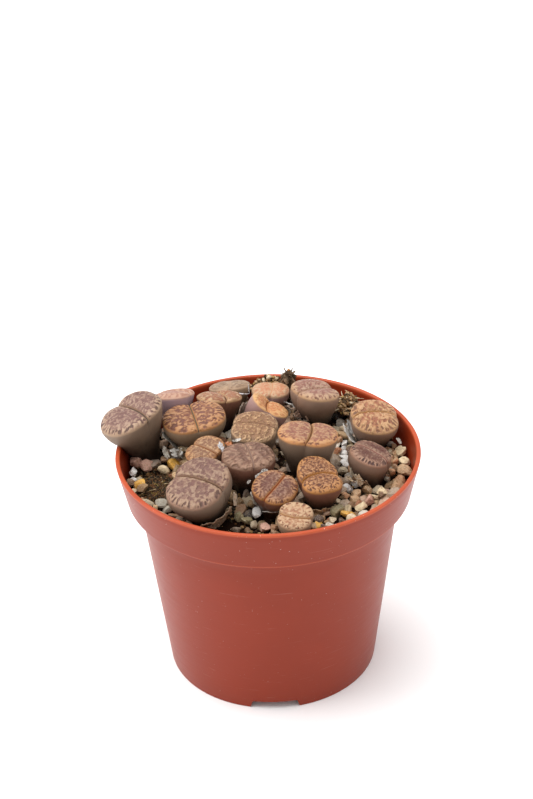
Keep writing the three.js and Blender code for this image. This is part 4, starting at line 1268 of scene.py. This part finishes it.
# Loose scraps of dry skin: place, half widths and curl in millimetres, the degrees they are turned
# and tipped up by, and their colour.
SCRAPS = [
    ((-40.8, 8.2, 90.2), (1.2, 2.2, 0.8), 30, 50, "d8d0c2"),
    ((-36.4, 7.4, 90.6), (2.6, 2.0, 1.0), 20, 25, "ddd8cf"),
    ((-35.2, 6.2, 90.2), (1.6, 2.0, 0.8), 80, 50, "9c8f80"),
    ((-33.4, 9.4, 91.4), (2.8, 1.3, 0.6), 25, 35, "cbb28e"),
    ((-18, -8, 101.5), (1.3, 1.9, 0.8), 70, 60, "f2f0f2"),
    ((-18.5, -6.5, 101.5), (0.9, 1.3, 0.6), 20, 50, "f6f4f4"),
    ((-12, -2.5, 101.5), (1.5, 0.5, 0.8), 15, 40, "f2ede6"),
    ((-15.4, 1.4, 97.6), (1.3, 1.0, 0.4), 0, 30, "c87c4c"),
    ((9.4, 38.2, 93.0), (3.6, 1.2, 0.9), 140, 35, "e6e2dc"),
    ((12.6, 35.0, 92.4), (3.2, 1.3, 0.9), 130, 40, "d9d4cc"),
    ((15.8, 31.2, 91.8), (3.4, 2.4, 1.5), 30, 35, "a3846e"),
    ((10.6, 33.0, 93.6), (2.8, 1.4, 1.3), 150, 50, "b89a84"),
    ((13.6, 30.2, 93.2), (2.4, 1.7, 1.6), 20, 60, "a07c66"),
    ((16.4, 27.6, 93.2), (2.0, 1.5, 1.4), 60, 65, "b59078"),
    ((17.6, 29.4, 91.2), (1.9, 1.5, 1.0), 80, 50, "8c6c58"),
    ((33.4, 19.6, 92.6), (1.3, 3.0, 0.9), 25, 60, "e4e1dc"),
    ((35.8, 14.6, 91.6), (2.4, 1.5, 0.9), 140, 45, "d6d2cb"),
    ((0.6, -36.2, 90.0), (2.5, 0.7, 0.4), 175, 25, "efe9df"),
    ((-10.4, 41.0, 97.0), (3.0, 0.9, 0.5), 165, 20, "ccc4c6"),
    ((-7.2, 42.6, 98.6), (0.5, 1.9, 0.3), 90, 85, "ebe6e6"),
    ((31.6, -16.6, 90.6), (2.4, 1.6, 0.9), 120, 35, "b79c7c"),
    ((-4.0, -22.2, 97.8), (2.3, 0.5, 0.8), 50, 50, "f4f0ea"),
    ((-7.8, -23.9, 95.8), (1.2, 0.45, 0.5), 60, 60, "ece6dc"),
    ((-1.6, -20.6, 98.6), (1.3, 0.6, 0.9), 10, 50, "f6f2ec"),
    ((-3.6, -26.0, 92.4), (0.9, 2.6, 0.5), 100, 70, "c9b49c"),
    ((-13.0, -32.4, 93.6), (0.8, 2.4, 0.6), 20, 75, "d2b89c"),
    ((33.2, -12.1, 91.0), (1.7, 2.6, 1.0), 25, 60, "cdbb9f"),
    ((34.7, -16.4, 90.2), (1.4, 2.3, 0.9), 40, 55, "bca07e"),
    ((44.6, 30.0, 93.4), (1.2, 1.6, 0.6), 40, 60, "c8c2b6"),
    ((52.2, 8.6, 92.0), (1.2, 1.5, 0.5), 70, 50, "cfcabf"),
]


def scrap(bm, tint, at, half, turn, tilt, colour, seed):
    """A crumpled flake of dry skin."""
    made = bmesh.ops.create_grid(bm, x_segments=13, y_segments=13, size=1)["verts"]
    wide, long, curl = half
    for vert in made:
        a, b, reach, angle = round_place(vert.co.x, vert.co.y)
        ragged = 1 + reach * (0.5 * noise.noise(Vector((cos(angle) * 1.6, sin(angle) * 1.6, seed)))
                              + 0.35 * noise.noise(Vector((cos(angle) * 4.5, sin(angle) * 4.5, seed))))
        lift = curl * (a * a * 0.8 + b * b * 0.3)
        lift += 0.55 * curl * noise.noise(Vector((a * 2.4, b * 2.4, seed)))
        lift += 0.4 * curl * noise.noise(Vector((a * 6, b * 6, seed)))
        vert.co = (a * wide * ragged, b * long * ragged, lift)
        shade = 0.82 + 0.5 * noise.noise(Vector((a * 3, b * 3, seed)))
        vert[tint] = (*[c * shade for c in colour], 1)
    spun = Matrix.Translation(at) @ Matrix.Rotation(radians(turn), 4, "Z")
    spun = spun @ Matrix.Rotation(radians(tilt), 4, "X")
    bmesh.ops.transform(bm, matrix=spun, verts=made)


class LITHOPS_OT_husks(bpy.types.Operator):
    """Wrap the papery remains of last year's leaves round the heads"""

    bl_idname = "lithops.husks"
    bl_label = "Papery husks"

    def execute(self, context):
        paper = paper_material()
        for i, sheath in enumerate(SHEATHS, 1):
            bm = sheath_mesh(i, sheath)
            finished(bm, f"husk_{i}", paper, [f"dry_sheath_{i}"])
        bm = bmesh.new()
        tint = bm.verts.layers.float_color.new("paper")
        for i, (at, half, turn, tilt, colour) in enumerate(SCRAPS):
            scrap(bm, tint, at, half, turn, tilt, paint(colour), i * 7.7)
        bmesh.ops.solidify(bm, geom=bm.faces, thickness=SCRAP_THICKNESS)
        bmesh.ops.recalc_face_normals(bm, faces=bm.faces)
        finished(bm, "husk_scraps", paper)
        return {"FINISHED"}


# Flower and litter
FLOWER_AT = (9.5, 52, 87.5)
FLOWER_MIDDLE = 9.6
FLOWER_BITS = 34
LITTER_TINTS = ("d0ae86", "b8926a", "e2d0b0", "84603e", "5c4632", "a5844e", "3a281a", "4a3424")
# lift: how far above the gravel the crumbs start.
HEAPS = [
    dict(middle=(33.6, 39.6), half=(5.8, 5.2), height=8, seed=5, crumbs=430, straws=52, lift=1.6),
    dict(middle=(1.5, 55), half=(9, 1.8), height=7, seed=8, crumbs=230, straws=7, lift=3.6),
]


class LITHOPS_OT_remains(bpy.types.Operator):
    """Put the dried flower and the heaps of straw, moss and crumbs in place"""

    bl_idname = "lithops.remains"
    bl_label = "Dry flower and litter"

    def execute(self, context):
        litter = litter_material()
        self.flower(litter)
        for index, heap in enumerate(HEAPS, 1):
            self.heap(litter, index, **heap)
        return {"FINISHED"}

    def flower(self, material):
        """A shrivelled seed head on its stalk: a cup with drawn-in lobes and a pale tip."""
        bm = bmesh.new()
        rod = straight_stalk()
        layer = bm.verts.layers.float_color.new("litter")
        made = bmesh.ops.create_icosphere(bm, subdivisions=4, radius=1)["verts"]
        dark, pale, tip = (Vector(paint(code)) for code in ("3c2c20", "8a6e58", "d08c50"))
        for vert in made:
            way = vert.co.normalized()
            rough = 0.62 * noise.noise(way * 1.9) + 0.42 * noise.noise(way * 4.5)
            rough += 0.2 * noise.noise(way * 9)
            radius = 1 + rough * (1 - way.z ** 4)
            neck = 0.5 + 0.5 * ease(way.z, 0.95, 0.1)
            vert.co = (way.x * radius * 2.9 * neck, way.y * radius * 2.5 * neck, FLOWER_MIDDLE + way.z * 5)
            # Darker where the surface dips in and paler where it bulges out: painted shade in the hollows of
            # the shrivelled head.
            shade = dark.lerp(pale, ease(rough, 0.0, 0.5))
            vert[layer] = (*shade.lerp(tip, ease(way.z, 0.84, 0.97)), 1)
        draw = random.Random(6)
        for _ in range(FLOWER_BITS):
            turn, rise = draw.uniform(0, 2 * pi), draw.uniform(-0.5, 1)
            way = Vector((cos(turn), sin(turn), rise))
            at = Vector((cos(turn) * 1.7, sin(turn) * 1.5, FLOWER_MIDDLE + 3.4 * rise))
            strand(bm, rod, layer, at, way, draw.uniform(0.9, 1.9), draw.uniform(0.25, 0.5),
                   draw.uniform(-0.5, 0.5), dark.lerp(pale, draw.random()))
        strand(bm, rod, layer, (0, 0, -1), Vector((0.02, 0.03, 1)), 9, 0.95, 0.3, dark)
        bpy.data.meshes.remove(rod)
        bmesh.ops.transform(bm, matrix=Matrix.Translation(FLOWER_AT), verts=bm.verts)
        finished(bm, "flower_husk", material, ["dry_flower"])

    def heap(self, material, index, middle, half, height, seed, crumbs, straws, lift):
        """Crumbs strewn into a low mound, with straws in it, kept inside the collar."""
        draw = random.Random(seed)
        bm = bmesh.new()
        layer = bm.verts.layers.float_color.new("litter")
        tints = [Vector(paint(code)) for code in LITTER_TINTS]
        blank = lump_mesh()
        spots = []
        for _ in range(crumbs):
            u, v = draw.gauss(0, 0.45), draw.gauss(0, 0.45)
            size = draw.uniform(0.4, 1.15)
            top = height * max(0.15, 1 - hypot(u, v) ** 1.5)
            z = GRAVEL_TOP + lift + top * draw.uniform(0.3, 1)
            at = (middle[0] + u * half[0], middle[1] + v * half[1], z)
            sizes = (size * draw.uniform(0.7, 1.6), size * 0.8, size * draw.uniform(0.5, 0.9))
            spots.append((at, sizes, ((*draw.choice(tints), 1),)))
        scatter(bm, [blank], spots, (layer,), draw)
        bpy.data.meshes.remove(blank)
        rod = straight_stalk()
        for _ in range(straws):
            u, v = draw.gauss(0, 0.4), draw.gauss(0, 0.4)
            z = GRAVEL_TOP + height * draw.uniform(0.2, 0.8)
            at = (middle[0] + u * half[0], middle[1] + v * half[1], z)
            way = Vector((draw.gauss(0, 1), draw.gauss(0, 1), draw.uniform(-0.1, 0.45)))
            tint = draw.choice(tints[:3])
            strand(bm, rod, layer, at, way, draw.uniform(2.5, 5.5), draw.uniform(0.18, 0.4),
                   draw.uniform(-1, 1), tint)
        bpy.data.meshes.remove(rod)
        for vert in bm.verts:
            reach = hypot(vert.co.x, vert.co.y)
            allowed = inner_collar(min(vert.co.z, POT_HEIGHT)) - 0.2
            if reach > allowed and vert.co.z < POT_HEIGHT + 0.5:
                vert.co.x *= allowed / reach
                vert.co.y *= allowed / reach
        finished(bm, f"litter_heap_{index}", material, [f"dry_litter_{index}"])


# Stage

# The camera fitted to the pot in the photograph. Places on the stage are metres from the pot's axis.
LENS = 83.45
CAMERA_AT = (0, -0.61782, 0.48077)
CAMERA_AHEAD = (0, 0.8624, -0.50622)
CAMERA_ROLL = -0.0284
FLOOR_HALF = 6
SUN_WAY = (0.32, -0.1, -1)
LAMPS_AIM = (0, 0, 0.06)
LAMPS_SIZE = (0.5, 0.6)


def studio_camera():
    """Places the camera as the photograph has it: in front, above, and turned a little."""
    data = bpy.data.cameras.new("camera")
    data.sensor_width = 36
    data.lens = LENS
    data.clip_start, data.clip_end = 0.05, 20
    camera = linked("camera", data)
    ahead = Vector(CAMERA_AHEAD).normalized()
    right = ahead.cross(UP).normalized()
    above = right.cross(ahead)
    across = right * cos(CAMERA_ROLL) + above * sin(CAMERA_ROLL)
    above = above * cos(CAMERA_ROLL) - right * sin(CAMERA_ROLL)
    turn = Matrix((across, above, -ahead)).transposed().to_4x4()
    camera.matrix_world = Matrix.Translation(POT_AXIS + Vector(CAMERA_AT)) @ turn
    bpy.context.scene.camera = camera


def softbox(name, at, power):
    """A soft white lamp that shines on the heads."""
    data = bpy.data.lights.new(name, "AREA")
    data.shape = "RECTANGLE"
    data.size, data.size_y = LAMPS_SIZE
    data.energy = power
    lamp = linked(name, data)
    lamp.location = at
    lamp.rotation_euler = (Vector(LAMPS_AIM) - Vector(at)).to_track_quat("-Z", "Y").to_euler()


class LITHOPS_OT_stage(bpy.types.Operator):
    """Set the camera, the white floor and the soft lights"""

    bl_idname = "lithops.stage"
    bl_label = "Stage"

    def execute(self, context):
        settings = context.scene.lithops_stage
        studio_camera()
        bm = bmesh.new()
        bmesh.ops.create_grid(bm, x_segments=4, y_segments=4, size=FLOOR_HALF)
        mesh = as_mesh(bm, "floor")
        made, _, shader = new_material("white floor")
        shader.inputs["Base Color"].default_value = opaque(settings.floor_colour)
        shader.inputs["Roughness"].default_value = 0.7
        shader.inputs["Specular IOR Level"].default_value = 0.2
        mesh.materials.append(made)
        floor = linked("floor", mesh)
        world = bpy.data.worlds.new("studio")
        world.use_nodes = True
        world.node_tree.nodes["Background"].inputs[0].default_value = (1, 1, 1, 1)
        world.node_tree.nodes["Background"].inputs[1].default_value = settings.surround
        context.scene.world = world
        context.scene.view_settings.view_transform = "Standard"
        data = bpy.data.lights.new("overhead", "SUN")
        data.energy = settings.overhead
        data.angle = radians(settings.softness)
        sky = linked("overhead", data)
        sky.rotation_euler = Vector(SUN_WAY).to_track_quat("-Z", "Y").to_euler()
        softbox("left", (-0.8, -0.1, 0.45), settings.sides)
        softbox("right", (0.9, 0.1, 0.45), settings.sides * 0.8)
        return {"FINISHED"}


# Settings and panel


class LITHOPS_PG_pot(bpy.types.PropertyGroup):
    colour: FloatVectorProperty(name="Plastic", description="Colour of the pot's plastic", subtype="COLOR",
                                size=3, min=0, max=1, default=(0.238, 0.0245, 0.0056))
    # The lip's colour is painted glow, where light shines through the thin plastic; the pot also uses it for
    # a painted highlight along the collar's foot.
    painted_glow_colour: FloatVectorProperty(name="Lip", subtype="COLOR", size=3, min=0, max=1,
                                    description="Colour of the thin lip, where light shines through",
                                    default=paint("b44e2c"))


class LITHOPS_PG_heads(bpy.types.PropertyGroup):
    face_cuts: IntProperty(name="Face cuts", description="Rows and columns cut in each face", default=55,
                           min=7, max=90)
    side_cuts: IntProperty(name="Side cuts", description="Rings cut in each body", default=22, min=4, max=60)


class LITHOPS_PG_fill(bpy.types.PropertyGroup):
    seed: IntProperty(name="Seed", description="Seed that places the stones and crumbs", default=11)
    smallest: FloatProperty(name="Smallest stone", description="Millimetres across", default=2.8, min=1)
    largest: FloatProperty(name="Largest stone", description="Millimetres across", default=6.8, min=2)
    tries: IntProperty(name="Tries", description="Places tried for stones in each layer", default=4200)
    crumbs: IntProperty(name="Crumbs", description="Number of soil crumbs", default=2600)
    moss: IntProperty(name="Moss", description="Threads of moss on the bare patch", default=640)
    soil_step: FloatProperty(name="Soil step", description="Millimetres between rings of the soil's surface",
                             default=0.8, min=0.3)


class LITHOPS_PG_stage(bpy.types.PropertyGroup):
    floor_colour: FloatVectorProperty(name="Floor", description="Colour of the floor", subtype="COLOR",
                                      size=3, min=0, max=1, default=(1, 1, 1))
    surround: FloatProperty(name="Surround", description="Strength of the white surround", default=0.77)
    overhead: FloatProperty(name="Overhead", description="Strength of the soft light from above",
                            default=2.72)
    softness: FloatProperty(name="Softness", description="Degrees that the light from above is wide",
                            default=65)
    sides: FloatProperty(name="Sides", description="Power of each side softbox", default=2.0,
                         subtype="POWER", unit="POWER")


class LITHOPS_PT_panel(bpy.types.Panel):
    bl_idname = "LITHOPS_PT_panel"
    bl_label = "Lithops"
    bl_space_type = "VIEW_3D"
    bl_region_type = "UI"
    bl_category = "Lithops"

    def draw(self, context):
        for group, step_class in STEPS:
            if group:
                settings = getattr(context.scene, group)
                for name in settings.__annotations__:
                    self.layout.prop(settings, name)
            self.layout.operator(step_class.bl_idname)


GROUPS = {
    "lithops_pot": LITHOPS_PG_pot,
    "lithops_heads": LITHOPS_PG_heads,
    "lithops_fill": LITHOPS_PG_fill,
    "lithops_stage": LITHOPS_PG_stage,
}
STEPS = [
    ("lithops_stage", LITHOPS_OT_stage),
    ("lithops_pot", LITHOPS_OT_pot),
    ("lithops_heads", LITHOPS_OT_heads),
    ("lithops_fill", LITHOPS_OT_fill),
    (None, LITHOPS_OT_husks),
    (None, LITHOPS_OT_remains),
]
CLASSES = [*GROUPS.values(), *(step_class for _, step_class in STEPS), LITHOPS_PT_panel]


def register():
    for made in CLASSES:
        bpy.utils.register_class(made)
    for name, group in GROUPS.items():
        setattr(bpy.types.Scene, name, PointerProperty(type=group))


def unregister():
    for name in GROUPS:
        delattr(bpy.types.Scene, name)
    for made in reversed(CLASSES):
        bpy.utils.unregister_class(made)


def main():
    register()
    for _, step_class in STEPS:
        group, name = step_class.bl_idname.split(".")
        getattr(getattr(bpy.ops, group), name)()


if __name__ == "__main__":
    main()
